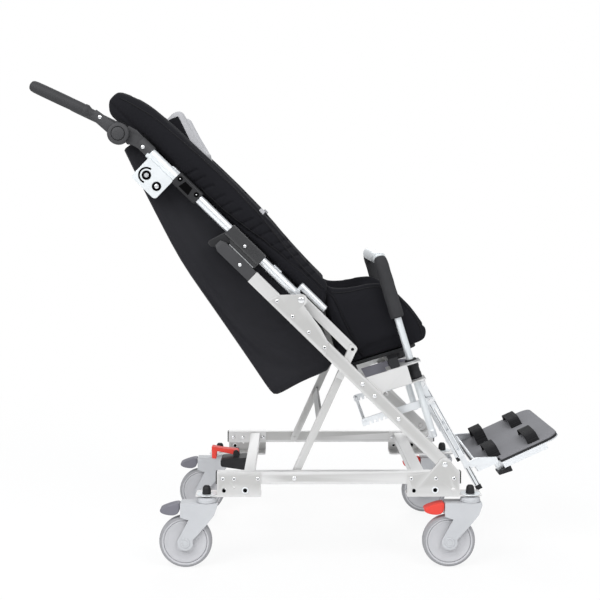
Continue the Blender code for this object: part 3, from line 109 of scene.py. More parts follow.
# Seat frame, counted forward and up from the middle of the post bush
SEAT_TILT = math.radians(17.1)
FORWARD = Vector((math.cos(SEAT_TILT), 0.0, math.sin(SEAT_TILT)))
UP_POST = Vector((-math.sin(SEAT_TILT), 0.0, math.cos(SEAT_TILT)))
on_seat = Plane(0.267, 0.461, FORWARD, UP_POST)
POST_PLANE = 0.19
BAR_FOOT = -0.1625

# Leg rest, counted down and ahead from its pivot, and footplate, counted along and up from its hinge
DOWN_REST = Vector((0.48634, 0.0, -0.87377))
on_rest = Plane(0.28904, 0.42541, DOWN_REST, Vector((0.87377, 0.0, 0.48634)))
FOOT_RISE = math.radians(25)
ALONG_PLATE = Vector((math.cos(FOOT_RISE), 0.0, math.sin(FOOT_RISE)))
on_plate = Plane(0.42391, 0.23038, ALONG_PLATE, Vector((-math.sin(FOOT_RISE), 0.0, math.cos(FOOT_RISE))))

# Castors and base
TRACK = 0.242
TRAIL = 0.05
WHEEL_RADIUS = 0.0625
RAIL_LEVEL = 0.213
BRACKET_FACE = 0.2553

# Upholstery: how far a pad is drawn in before it is blown up as cloth, and how far it may swell
PAD_INSET = 0.001
PAD_SWELL = 0.004
PAD_PRESSURE = 4.0
INWARD_SHARE = 0.25
CLOTH_FRAMES = 20
CLOTH_STIFFNESS = 12.0

# How deep the underside of a fastener's head sits in its plate
SUNK = -0.0006


def between(table, place):
    """The value at a place in a table of (place, value) rows, in a straight line from row to row."""
    for (first, low), (second, high) in zip(table, table[1:]):
        if place <= second:
            share = min(1.0, max(0.0, (place - first) / (second - first)))
            return low + (high - low) * share
    return table[-1][1]


# Shader building

class Value:
    """A shader socket that takes part in Python expressions."""

    def __init__(self, finish, socket):
        self.finish = finish
        self.socket = socket

    def math(self, operation, other=None):
        sockets = {0: self} if other is None else {0: self, 1: other}
        return self.finish.add("Math", {"operation": operation}, sockets)

    __add__ = __radd__ = partialmethod(math, "ADD")
    __sub__ = partialmethod(math, "SUBTRACT")
    __mul__ = __rmul__ = partialmethod(math, "MULTIPLY")
    __truediv__ = partialmethod(math, "DIVIDE")
    __pow__ = partialmethod(math, "POWER")
    at_least = partialmethod(math, "MAXIMUM")
    at_most = partialmethod(math, "MINIMUM")
    sine = partialmethod(math, "SINE")


class Finish:
    """One material and the nodes that it is made of."""

    def __init__(self, name, **fixed):
        self.material = bpy.data.materials.new(name)
        self.material.use_nodes = True
        self.tree = self.material.node_tree
        self.shader = self.tree.nodes["Principled BSDF"]
        for key, value in fixed.items():
            self.set(key.replace("_", " ").title().replace("Ior", "IOR"), value)

    def add(self, kind, settings=None, sockets=None, output=0):
        """A node of a kind, with its settings set first and then its sockets."""
        made = self.tree.nodes.new("ShaderNode" + kind)
        for key, value in (settings or {}).items():
            setattr(made, key, value)
        for key, value in (sockets or {}).items():
            self.feed(made.inputs[key], value)
        return Value(self, made.outputs[output])

    def feed(self, socket, value):
        if isinstance(value, Value):
            self.tree.links.new(value.socket, socket)
        elif socket.type == "RGBA" and len(value) == 3:
            socket.default_value = (*value, 1.0)
        else:
            socket.default_value = value

    def set(self, name, value):
        self.feed(self.shader.inputs[name], value)

    def place(self):
        """The piece's own coordinates, in metres."""
        return self.add("TexCoord", output="Object")

    def axes(self, vector):
        split = self.tree.nodes.new("ShaderNodeSeparateXYZ")
        self.feed(split.inputs[0], vector)
        return [Value(self, socket) for socket in split.outputs]

    def noise(self, scale, detail, rough=0.5, stretch=None, turn=0.0):
        """Noise in the piece's own coordinates, or in those that stretch() makes of them."""
        vector = self.stretch(stretch, turn) if stretch else self.place()
        sockets = {"Vector": vector, "Scale": scale, "Detail": detail, "Roughness": rough}
        return self.add("TexNoise", None, sockets, "Fac")

    def cells(self, scale):
        return self.add("TexVoronoi", None, {"Scale": scale, "Vector": self.place()}, "Distance")

    def stretch(self, scale, turn=0.0):
        """The piece's coordinates, scaled by an amount for each axis and turned about the y axis."""
        sockets = {"Vector": self.place(), "Scale": scale, "Rotation": (0.0, turn, 0.0)}
        return self.add("Mapping", None, sockets)

    def mix(self, factor, first, second):
        return self.add("Mix", {"data_type": "RGBA"}, {0: factor, 6: first, 7: second}, 2)

    def bump(self, height, strength, distance):
        made = self.add("Bump", None, {"Height": height, "Strength": strength, "Distance": distance})
        self.set("Normal", made)


# Finishes

def satin_aluminium():
    made = Finish("satin_aluminium", metallic=0.55)
    grain = made.noise(1.0, 4.0, 0.6, (60.0, 900.0, 900.0), LEG_SLOPE)
    cloud = made.noise(9.0, 2.0)
    edge = made.add("NewGeometry", output="Pointiness")
    worn = ((edge - 0.5) / 0.06).at_least(0.0).at_most(1.0)
    base = made.mix(cloud, (0.5, 0.495, 0.485), (0.6, 0.595, 0.585))
    made.set("Base Color", made.mix(worn, base, (0.74, 0.735, 0.73)))
    made.set("Roughness", 0.34 + 0.14 * grain + 0.08 * cloud)
    made.bump(grain, 0.06, 0.0004)
    return made.material


def clouded(name, low, high, cloud, rough, grain=None, bump=None, **fixed):
    """A finish whose colour and roughness drift with a cloud of noise, over a fine grain.

    cloud and grain say what noise() takes, and a grain of one number is the scale of cells() instead.
    rough is (least, the cloud's share, the grain's share) and bump is (strength, depth).
    """
    made = Finish(name, **fixed)
    drift = made.noise(*cloud)
    made.set("Base Color", made.mix(drift, low, high))
    level = rough[0] + rough[1] * drift
    if grain:
        fine = made.noise(*grain) if isinstance(grain, tuple) else made.cells(grain)
        level = level + rough[2] * fine
        made.bump(fine, *bump)
    made.set("Roughness", level)
    return made.material


def bright_zinc(name, metallic, low, high):
    streak = (1.0, 3.0, 0.6, (700.0, 700.0, 80.0))
    return clouded(name, low, high, (22.0, 4.0, 0.6), (0.24, 0.14, 0.04), streak, (0.02, 0.0002),
                   metallic=metallic)


def moulded(name, low, high, rough, grain=900.0, bump=0.12, shine=0.5, coat=0.0):
    return clouded(name, low, high, (14.0, 3.0), (rough, 0.1, 0.06), (grain, 2.0, 0.6), (bump, 0.0004),
                   specular_ior_level=shine, coat_weight=coat, coat_roughness=0.12)


def tyre_rubber(name, low, high):
    return clouded(name, low, high, (26.0, 5.0, 0.65), (0.58, 0.16, 0.06), (700.0, 2.0), (0.15, 0.0004),
                   specular_ior_level=0.35)


def woven(name, low, high, pitch, sheen, shine, rough=0.78, melange=False):
    """Cloth woven on the slope of the back: threads along it, across it and through the sides."""
    made = Finish(name, sheen_weight=sheen, sheen_roughness=0.45, specular_ior_level=shine)
    x, y, z = made.axes(made.stretch((1.0, 1.0, 1.0), LEG_SLOPE))
    turn = 2 * math.pi / pitch
    weft, warp, side = (turn * x).sine(), (turn * y).sine(), (turn * z).sine()
    weave = (weft * warp).at_least(weft * side).at_least(warp * side) * 0.5 + 0.5
    cloud = made.noise(11.0, 4.0, 0.6)
    fibre = made.noise(1.0, 3.0, 0.7, (260.0, 900.0, 900.0), LEG_SLOPE)
    shade = 0.25 * cloud + 0.75 * fibre if melange else 0.55 * cloud + 0.45 * weave
    made.set("Base Color", made.mix(shade, low, high))
    made.set("Roughness", rough + 0.12 * cloud)
    made.bump(weave + 0.5 * fibre, 0.3, 0.0005)
    return made.material


def rubber_mat():
    made = Finish("grey_mat", specular_ior_level=0.3)
    cloud = made.noise(16.0, 4.0, 0.6)
    shade = 0.6 * cloud + 0.4 * made.noise(420.0, 2.0)
    made.set("Base Color", made.mix(shade, (0.15, 0.15, 0.163), (0.255, 0.255, 0.27)))
    made.set("Roughness", 0.66 + 0.2 * cloud)
    made.bump(made.cells(520.0), 0.3, 0.0006)
    return made.material


def webbing(pitch=0.0016):
    """Black webbing, ribbed across the stroller."""
    made = Finish("black_webbing", specular_ior_level=0.2)
    rib = (2 * math.pi / pitch * made.axes(made.place())[1]).sine() * 0.5 + 0.5
    cloud = made.noise(120.0, 2.0)
    made.set("Base Color", made.mix(0.6 * rib + 0.4 * cloud, (0.004, 0.004, 0.005), (0.02, 0.02, 0.022)))
    made.set("Roughness", 0.7 + 0.15 * cloud)
    made.bump(rib, 0.4, 0.0005)
    return made.material


FINISH = {
    "satin": satin_aluminium(),
    "zinc": bright_zinc("bright_zinc", 0.85, (0.8, 0.825, 0.85), (0.92, 0.935, 0.95)),
    "white_zinc": bright_zinc("white_zinc", 0.4, (0.73, 0.765, 0.785), (0.84, 0.865, 0.88)),
    "steel": clouded("polished_steel", (0.8, 0.81, 0.82), (0.92, 0.92, 0.93), (60.0, 2.0), (0.16, 0.14),
                     metallic=1.0),
    "light_grey": moulded("light_grey_plastic", (0.5, 0.51, 0.53), (0.58, 0.59, 0.61), 0.42),
    "rim": moulded("grey_rim_plastic", (0.49, 0.49, 0.51), (0.58, 0.58, 0.6), 0.45),
    "tyre": tyre_rubber("grey_tyre", (0.5, 0.5, 0.52), (0.59, 0.59, 0.61)),
    "tread": tyre_rubber("grey_tread", (0.29, 0.29, 0.305), (0.37, 0.37, 0.385)),
    "dark_grey": moulded("dark_grey_plastic", (0.15, 0.148, 0.175), (0.205, 0.202, 0.235), 0.45),
    "red": moulded("red_plastic", (0.7, 0.046, 0.034), (0.82, 0.075, 0.052), 0.44, 700.0, 0.08, 0.35),
    "black": moulded("black_plastic", (0.009, 0.009, 0.01), (0.018, 0.018, 0.02), 0.42, 1100.0, 0.2, 0.35),
    "gloss_black": moulded("gloss_black_plastic", (0.01, 0.01, 0.011), (0.018, 0.018, 0.02), 0.24,
                           1100.0, 0.05, 0.5, 1.0),
    # Near-black painted shade: stands in for the shade inside rivet hollows, bush holes, slots, grooves and
    # the hollows round screws.
    "shade_fill": moulded("painted_shade_black", (0.0012, 0.0012, 0.0013), (0.002, 0.002, 0.0021), 0.8,
                      900.0, 0.1, 0.05),
    "graphite": moulded("graphite_plastic", (0.03, 0.03, 0.032), (0.052, 0.052, 0.056), 0.5,
                        1000.0, 0.2, 0.4),
    "rubber": moulded("grip_rubber", (0.024, 0.024, 0.026), (0.042, 0.042, 0.045), 0.58, 900.0, 0.3, 0.4),
    "foam": clouded("black_foam", (0.028, 0.028, 0.03), (0.046, 0.046, 0.049), (30.0, 3.0), (0.72, 0.18, 0.0),
                    900.0, (0.35, 0.0006), specular_ior_level=0.25),
    "fabric": woven("black_fabric", (0.004, 0.004, 0.006), (0.011, 0.011, 0.014), 0.003, 0.03, 0.16),
    "bag": woven("black_bag_cloth", (0.006, 0.006, 0.008), (0.018, 0.018, 0.022), 0.0024, 0.04, 0.2, 0.7),
    "piping": woven("black_piping", (0.003, 0.003, 0.004), (0.01, 0.01, 0.012), 0.0012, 0.02, 0.2, 0.62),
    "grey_fabric": woven("grey_melange", (0.28, 0.28, 0.295), (0.62, 0.62, 0.64), 0.0026, 0.15, 0.3,
                         0.85, True),
    "mat": rubber_mat(),
    "webbing": webbing(),
}


# Pieces and shapes

def linked(name, shape, finish):
    """A bmesh in world coordinates, or a list of them, as one object in the scene."""
    mesh = together(shape) if isinstance(shape, list) else shape
    bmesh.ops.recalc_face_normals(mesh, faces=mesh.faces[:])
    data = bpy.data.meshes.new(name)
    mesh.to_mesh(data)
    mesh.free()
    data.materials.append(FINISH[finish])
    made = bpy.data.objects.new(name, data)
    bpy.context.scene.collection.objects.link(made)
    return made


def piece(name, shape, finish, body, replaced=(), smooth=40.0):
    """A shape as a finished piece that rides on a body."""
    return settle(linked(name, shape, finish), body, replaced, smooth)


def settle(made, body, replaced=(), smooth=40.0):
    """Shade a piece, smooth is its sharp angle or None where that is done, and put it on its body."""
    if smooth is not None:
        made.data.shade_smooth()
        if smooth:
            made.data.set_sharp_from_angle(angle=math.radians(smooth))
    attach(made, body)
    if replaced:
        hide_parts(*replaced)
    return made


def solid_of(node):
    """A welded copy of a CAD node's mesh, its flat faces joined up."""
    mesh = bmesh.new()
    mesh.from_mesh(frame["nodes"][node].data)
    bmesh.ops.remove_doubles(mesh, verts=mesh.verts[:], dist=0.00002)
    bmesh.ops.dissolve_limit(mesh, angle_limit=math.radians(0.4), verts=mesh.verts[:], edges=mesh.edges[:])
    return mesh


def softened(name, shape, finish, body, replaced=(), width=0.0015, segments=3, limit=40.0):
    """A shape with its sharp edges rounded over and its flat faces kept flat, riding on a body."""
    made = linked(name, shape, finish)
    modified(made, "BEVEL", width=width, segments=segments, limit_method="ANGLE",
             angle_limit=math.radians(limit), use_clamp_overlap=True, miter_outer="MITER_ARC")
    made.data.shade_smooth()
    made.data.set_sharp_from_angle(angle=math.radians(45.0))
    modified(made, "WEIGHTED_NORMAL", weight=100, keep_sharp=True)
    return settle(made, body, replaced, None)


def eased(node, finish, body, width=0.0009, segments=2, limit=46.0):
    """A CAD node with its sharp edges eased, as the real plate, tube or moulding has them."""
    return softened(node + "_eased", solid_of(node), finish, body, (node,), width, segments, limit)


def modified(made, kind, **settings):
    """Put a modifier on a piece and apply it."""
    modifier = made.modifiers.new(kind.lower(), kind)
    for key, value in settings.items():
        setattr(modifier, key, value)
    apply_modifiers(made)


def apply_modifiers(made):
    """Replace a piece's mesh by what its modifiers make of it."""
    graph = bpy.context.evaluated_depsgraph_get()
    data = bpy.data.meshes.new_from_object(made.evaluated_get(graph))
    made.modifiers.clear()
    spare = made.data
    made.data = data
    bpy.data.meshes.remove(spare)


def lathe(profile, sides):
    """Turn a (radius, height) outline about +Z; a radius of zero closes on the axis."""
    mesh = bmesh.new()
    rings = []
    for radius, height in profile:
        if radius == 0.0:
            rings.append([mesh.verts.new((0.0, 0.0, height))])
        else:
            rings.append([mesh.verts.new((a, b, height)) for a, b in circle(radius, sides)])
    pairs = list(zip(rings, rings[1:]))
    if profile[0][0] > 0.0:
        pairs.append((rings[-1], rings[0]))
    for lower, upper in pairs:
        for side in range(sides):
            after = (side + 1) % sides
            corners = [lower[side % len(lower)], lower[after % len(lower)], upper[after % len(upper)],
                       upper[side % len(upper)]]
            mesh.faces.new(list(dict.fromkeys(corners)))
    return mesh


def turned(profile, sides, place, towards):
    """A lathed shape, stood at a place with its axis in a direction."""
    mesh = lathe(profile, sides)
    turn = Vector(UP).rotation_difference(Vector(towards)).to_matrix().to_4x4()
    mesh.transform(Matrix.Translation(place) @ turn)
    return mesh


def together(meshes):
    """Several shapes in one mesh."""
    whole = bmesh.new()
    for mesh in meshes:
        bmesh.ops.recalc_face_normals(mesh, faces=mesh.faces[:])
        data = bpy.data.meshes.new("shape")
        mesh.to_mesh(data)
        mesh.free()
        whole.from_mesh(data)
        bpy.data.meshes.remove(data)
    return whole


def round_bar(first, second, radius, sides, ease=0.0008):
    """A straight bar with eased ends."""
    length = (second - first).length
    profile = [(0.0, 0.0), (radius - ease, 0.0), (radius, ease), (radius, length - ease),
               (radius - ease, length), (0.0, length)]
    return turned(profile, sides, first, second - first)


def swept(points, outline, across):
    """Sweep a flat outline of (side, out) points along a line; across is the side direction."""
    sections = []
    for index, point in enumerate(points):
        along = points[min(index + 1, len(points) - 1)] - points[max(index - 1, 0)]
        along.normalize()
        side = Vector(across)
        side = (side - along * side.dot(along)).normalized()
        out = along.cross(side)
        sections.append([point + side * a + out * b for a, b in outline])
    return loft(sections)


def circle(radius, sides):
    angles = [2 * math.pi * step / sides for step in range(sides)]
    return [(radius * math.cos(angle), radius * math.sin(angle)) for angle in angles]


def arc(centre, radius, start, end, steps):
    points = []
    for degrees in spaced(start, end, steps + 1):
        angle = math.radians(degrees)
        points.append((centre[0] + radius * math.cos(angle), centre[1] + radius * math.sin(angle)))
    return points


def spaced(first, last, count):
    return [first + (last - first) * step / (count - 1) for step in range(count)]


def box(low_a, low_b, high_a, high_b):
    return [(low_a, low_b), (high_a, low_b), (high_a, high_b), (low_a, high_b)]


def rounded(outline, rounds):
    """A closed outline with its corners cut back again and again, so that it runs in a curve."""
    for _ in range(rounds):
        after = outline[1:] + outline[:1]
        pairs = [((0.75 * a + 0.25 * c, 0.75 * b + 0.25 * d), (0.25 * a + 0.75 * c, 0.25 * b + 0.75 * d))
                 for (a, b), (c, d) in zip(outline, after)]
        outline = [point for pair in pairs for point in pair]
    return outline


def loft(sections):
    """A skin over a row of sections, closed at both ends."""
    mesh = bmesh.new()
    rings = [[mesh.verts.new(point) for point in section] for section in sections]
    for first, second in zip(rings, rings[1:]):
        stitch(mesh, first, second)
    mesh.faces.new(rings[0][::-1])
    mesh.faces.new(rings[-1])
    return mesh


def stitch(mesh, first, second):
    """A band of faces between two rings."""
    count = len(first)
    for step in range(count):
        after = (step + 1) % count
        mesh.faces.new((first[step], first[after], second[after], second[step]))


def slab(outline, low, high, put):
    """A flat shape between two levels; put turns (a, b, level) into a place."""
    return loft([[put(a, b, level) for a, b in outline] for level in (low, high)])


def dome_head(place, towards, radius, height):
    profile = [(0.0, SUNK), (radius, SUNK), (radius, height * 0.15)]
    profile += [(radius * math.cos(a), height * (0.15 + 0.85 * math.sin(a)))
                for a in [math.radians(d) for d in (18, 36, 54, 72)]]
    return turned([*profile, (0.0, height)], 24, place, towards)


def hex_head(place, towards, radius, height):
    """A hexagon head on a round washer."""
    head = [(0.0, SUNK), (radius, SUNK), (radius, height * 0.8), (radius * 0.9, height), (0.0, height)]
    rim, level = radius * 1.3, height * 0.22
    base = [(0.0, SUNK), (rim, SUNK), (rim, level), (0.0, level)]
    return together([turned(head, 6, place, towards), turned(base, 24, place, towards)])


def washer(place, towards, inner, outer, low, high):
    """A flat ring with its outer edge eased."""
    profile = [(inner, low), (outer, low), (outer, high * 0.6), (outer * 0.96, high), (inner, high)]
    return turned(profile, 32, place, towards)


def disc(place, towards, radius, low, high):
    profile = [(0.0, low), (radius, low), (radius, high - 0.0002), (radius - 0.0003, high), (0.0, high)]
    return turned(profile, 24, place, towards)


def mirrored(half):
    """A lathe profile from its half of (radius, height) points."""
    return [(r, -w) for r, w in half] + [(r, w) for r, w in reversed(half)]


# Castors

def make_castors():
    for corner, x in CORNERS:
        for side, sign in SIDES:
            label = f"{corner}_{side}"
            stem = Vector((x, sign * TRACK, 0.0))
            hub = stem + Vector((-TRAIL, 0.0, WHEEL_RADIUS))
            make_wheel(label, hub)
            make_fork(label, stem, hub)
            make_pedal(label, stem, "red" if corner == "front" else "dark_grey")


def make_wheel(label, hub):
    """A grey tyre moulded on a dished rim, with a dark seam between them."""
    tread = [(0.055, 0.009), (0.0551, 0.0121), (0.0585, 0.0115), (0.0602, 0.01), (0.0616, 0.0076),
             (0.0623, 0.0045), (0.0625, 0.0015)]
    wall = [(0.0512, 0.009), (0.0513, 0.0109), (0.0526, 0.0118), (0.0551, 0.0121)]
    rim = [(0.0047, 0.0149), (0.0085, 0.0149), (0.0093, 0.0142), (0.0096, 0.0104), (0.015, 0.0092),
           (0.018, 0.0092), (0.038, 0.0088), (0.044, 0.01), (0.047, 0.011), (0.0492, 0.0112),
           (0.0502, 0.0104), (0.0503, 0.008)]
    seam = [(0.05, 0.007), (0.0501, 0.0092), (0.0514, 0.0092), (0.0515, 0.007)]
    parts = (("tread", tread, "tread"), ("tyre", wall, "tyre"), ("rim", rim, "rim"),
             ("seam", seam, "dark_grey"))
    for name, half, finish in parts:
        mesh = turned(mirrored(half), 64, hub, (0, 1, 0))
        piece(f"castor_{name}_{label}", mesh, finish, f"wheel_{label}", (f"castor_wheel_{label}",), 32.0)


def make_fork(label, stem, hub):
    """The fork with its axle caps and bearing ring, and the dome and the washer on its stem."""
    body = f"castor_{label}"
    eased(f"castor_fork_{label}", "light_grey", body, 0.0024, 4, 50.0)
    cap = [(0.0, -0.001), (0.0112, -0.001), (0.0114, 0.0012), (0.0106, 0.0019), (0.008, 0.0019),
           (0.0076, 0.0013), (0.0068, 0.0013), (0.0064, 0.002), (0.0, 0.0022)]
    caps = [turned(cap, 32, hub + Vector((0.0, way * 0.021, 0.0)), (0, way, 0)) for way in (-1, 1)]
    ring = [(0.0236, 0.157), (0.0239, 0.1576), (0.0239, 0.1604), (0.0236, 0.161), (0.0228, 0.159)]
    caps.append(turned(ring, 40, stem, UP))
    piece(f"castor_caps_{label}", caps, "light_grey", body, (), 30.0)
    dome = [(0.0, 0.1742), (0.0103, 0.1742), (0.0104, 0.177), (0.01, 0.185), (0.0088, 0.191),
            (0.006, 0.1946), (0.0, 0.1956)]
    piece(f"castor_stem_cap_{label}", turned(dome, 32, stem, UP), "black", body, (), 50.0)
    plate = [(0.0, 0.1738), (0.0226, 0.1738), (0.023, 0.1744), (0.0226, 0.1752), (0.0, 0.1752)]
    piece(f"castor_stem_washer_{label}", turned(plate, 40, stem, UP), "white_zinc", body)


def make_pedal(label, stem, finish):
    """A rounded tread that tapers to the rear."""
    leaf = [(-0.0621, 0.1552), (-0.0738, 0.155), (-0.0933, 0.149), (-0.1072, 0.1432), (-0.1098, 0.138),
            (-0.1072, 0.1328), (-0.099, 0.129), (-0.0875, 0.1266), (-0.0755, 0.1266), (-0.0672, 0.1306),
            (-0.0632, 0.138), (-0.0618, 0.1462)]

    def put(x, z, y):
        return stem + Vector((x, y, z))

    mesh = slab(rounded(leaf, 2), -0.0168, 0.0168, put)
    softened(f"pedal_tread_{label}", mesh, finish, f"pedal_{label}", (f"castor_pedal_{label}",),
             0.0034, 4, 50.0)


# Base

def make_base():
    eased("base_frame", "satin", "base", 0.0014, 3)
    # The near-black dots on the rivets and the discs in the bushes and holes are painted shade of those
    # hollows.
    rivets, bushes, hole_shades, plugs, backs = [], [], [], [], []
    for side, sign in SIDES:
        for corner, _ in CORNERS:
            eased(f"{corner}_castor_bracket_{side}", "satin", "base", 0.0006)
        face, out = sign * BRACKET_FACE, (0, sign, 0)
        for x in (-0.185, -0.159, -0.103, 0.2565, 0.315, 0.357):
            rivets.append(dome_head((x, face, RAIL_LEVEL), out, 0.005, 0.0024))
            hole_shades.append(disc((x, face, RAIL_LEVEL), out, 0.0017, 0.0016, 0.0026))
            rivets.append(dome_head((x, sign * 0.2293, RAIL_LEVEL), (0, -sign, 0), 0.005, 0.0024))
        for first, last in ((-0.199, -0.095), (0.248, 0.37)):
            backs.append(slab(box(first, 0.199, last, 0.2284), sign * 0.2294, sign * 0.2322, in_world))
        rivets.append(dome_head((LEG_FOOT[0], face, LEG_FOOT[1]), out, 0.0068, 0.0027))
        rivets.append(dome_head((-0.0176, sign * LEG_FACE, RAIL_LEVEL), out, 0.0058, 0.003))
        for x in (-0.133, 0.313):
            bushes.append(washer((x, face, 0.186), out, 0.005, 0.0082, -0.0012, 0.0015))
            hole_shades.append(disc((x, face, 0.186), out, 0.0051, -0.0012, 0.0007))
        for x, z in ((-0.1825, 0.185), (0.2633, 0.184)):
            hole_shades.append(disc((x, face, z), out, 0.0044, -0.001, 0.0005))
        for x, way in ((-0.199, -1), (0.3715, 1)):
            end = box(x, 0.2003, x + way * 0.003, 0.2287)
            plugs.append(slab(end, sign * 0.2328, sign * 0.2512, in_world))
    softened("bracket_backs", backs, "satin", "base", (), 0.0005, 2)
    piece("base_rivets", rivets, "steel", "base")
    piece("bracket_bushes", bushes, "zinc", "base")
    # Painted shade of the rivet hollows, the bushes and the holes.
    piece("base_painted_shade_dots", hole_shades, "shade_fill", "base")
    piece("rail_end_plugs", plugs, "black", "base")
    eased("rear_lock_housing", "black", "base", 0.0014, 3)
    lever = [*arc((-0.166, 0.2235), 0.0072, -120, 60, 8), (-0.204, 0.2345), (-0.227, 0.239),
             (-0.2288, 0.2365), (-0.2278, 0.2075), (-0.2168, 0.2066), (-0.2152, 0.2262), (-0.2, 0.2234)]
    softened("lock_lever_arm", slab(lever, -0.0129, 0.0129, in_world), "red", "lock_lever",
             ("rear_lock_lever",), 0.0018, 3, 50.0)


# Side frames

def make_side_frames():
    heads, hole_shades = [], []
    for side, sign in SIDES:
        out = (0, sign, 0)
        eased(f"main_leg_{side}", "satin", "front_frame", 0.0016, 3)
        eased(f"leg_gusset_{side}", "satin", "front_frame", 0.0007)
        eased(f"leg_top_plug_{side}", "graphite", "front_frame", 0.004, 5, 30.0)
        eased(f"link_arm_{side}", "satin", "link", 0.001)
        plate = sign * (LEG_FACE + 0.0033)
        for along in (0.3957, 0.4467, 0.4994, 0.5502):
            heads.append(dome_head(on_leg(along, 0.0, plate), out, 0.0044, 0.0024))
            # A near-black dot on each rivet is painted shade of its hollow centre.
            hole_shades.append(disc(on_leg(along, 0.0, plate), out, 0.0018, 0.0016, 0.0026))
        for along in (0.1532, 0.2315, 0.2714):
            heads.append(dome_head(on_leg(along, 0.0, sign * LEG_FACE), out, 0.0054, 0.003))
        heads.append(dome_head(on_leg(0.67, 0.0, sign * 0.2508), out, 0.0046, 0.0028))
        heads.append(dome_head(on_leg(BACK_PIVOT, BACK_OFFSET, plate), out, 0.008, 0.0028))
    piece("leg_rivets", heads, "steel", "front_frame")
    # Painted shade of the rivet hollows.
    piece("leg_painted_shade_dots", hole_shades, "shade_fill", "front_frame")
    eased("rear_strut_frame", "satin", "strut", 0.001)


# Back

def make_back():
    make_back_tubes()
    # The near-black rings, pocket and slot gathered in dark are painted shade: round the connector's screws,
    # in its pocket, round the plate's bolt and ring, and in the plate's slot.
    screws, dark, sleeves = [], [], []
    for side, sign in SIDES:
        out = (0, sign, 0)
        eased(f"tube_connector_{side}", "black", "back_frame", 0.0028, 4)
        outline = [(0.916, 0.03), *arc((0.9245, -0.0225), 0.0085, 180, 270, 7),
                   *arc((0.9845, -0.0225), 0.0085, 270, 360, 7), (0.993, 0.03)]
        plate = sign * PLATE_FACE
        softened(f"accessory_plate_{side}_eased", slab(outline, sign * 0.2308, plate, on_leg), "white_zinc",
                 "back_frame", (f"accessory_plate_{side}",), 0.0006, 2)
        first, last = (on_leg(along, 0.0386, sign * ARM_PLANE) for along in (0.917, 1.003))
        sleeves.append(round_bar(first, last, 0.0136, 40))
        face = sign * CONNECTOR_FACE
        for along in (0.855, 0.907):
            place = on_leg(along, BACK_OFFSET + 0.004, face)
            dark.append(washer(place, out, 0.003, 0.006, -0.001, 0.0008))
            dark.append(disc(place, out, 0.0031, -0.001, 0.0003))
            screws.append(disc(place, out, 0.0013, 0.0002, 0.0006))
        panel = [(0.868, 0.0305), (0.898, 0.0305), (0.894, 0.049), (0.872, 0.049)]
        dark.append(slab(panel, face - sign * 0.001, face + sign * 0.0009, on_leg))
        centre = (0.969, -0.0034)
        bolt, ring = on_leg(*centre, plate), on_leg(0.9345, -0.0056, plate)
        screws.append(hex_head(bolt, out, 0.0058, 0.0042))
        dark.append(washer(bolt, out, 0.0056, 0.011, SUNK, 0.001))
        dark.append(washer(ring, out, 0.0056, 0.0108, SUNK, 0.0012))
        screws.append(disc(ring, out, 0.0057, SUNK, 0.0005))
        slot = arc(centre, 0.0192, -115, 85, 18) + arc(centre, 0.015, 85, -115, 18)
        dark.append(slab(slot, plate - sign * 0.002, plate + sign * 0.0004, on_leg))
        screws.append(dome_head(on_leg(1.0198, 0.0376, sign * 0.2334), out, 0.0045, 0.002))
        make_latch(side, sign)
        make_handle(side, sign)
    piece("back_screws", screws, "steel", "back_frame")
    # Painted shade of the hollows round the screws, the connector's pocket and the plate's slot.
    piece("back_painted_shade_rings", dark, "shade_fill", "back_frame")
    piece("accessory_sleeves", sleeves, "white_zinc", "back_frame")


def make_back_tubes():
    """Both tubes, their forked feet, the cross bars and the stubs beside the seat with their welds."""
    shapes = []
    top = PAD_REAR - 0.0003
    for _, sign in SIDES:
        low = on_leg(BACK_PIVOT + 0.013, BACK_OFFSET, sign * ARM_PLANE)
        high = on_leg(1.03, BACK_OFFSET, sign * ARM_PLANE)
        shapes.append(round_bar(low, high, 0.011, 40))
        foot = [(0.025, -0.0085), (0.025, 0.0085), *arc((0.0, 0.0), 0.0085, 90, 270, 12)]
        foot = [(BACK_PIVOT + a, BACK_OFFSET + b) for a, b in foot]
        for inner in (0.2088, 0.2275):
            shapes.append(slab(foot, sign * inner, sign * (inner + 0.0027), on_leg))
        low, high = (on_leg(along, top + 0.009 - 0.0015, sign * 0.1988) for along in (0.452, 0.535))
        shapes.append(round_bar(low, high, 0.009, 32, 0.0016))
        shapes.append(slab(box(0.527, 0.044, 0.5345, 0.06), sign * 0.2, sign * 0.212, on_leg))
    bar = [(-0.0125, -0.0105), (-0.0105, -0.012), (0.0105, -0.012), (0.0125, -0.0105), (0.0125, -0.0015),
           (0.0105, 0.0), (-0.0105, 0.0), (-0.0125, -0.0015)]
    for along in (0.6, 0.93):
        shapes.append(slab([(along + a, top + b) for a, b in bar], -0.212, 0.212, on_leg))
    piece("back_tubes", shapes, "zinc", "back_frame", ("back_tube_frame",), 35.0)


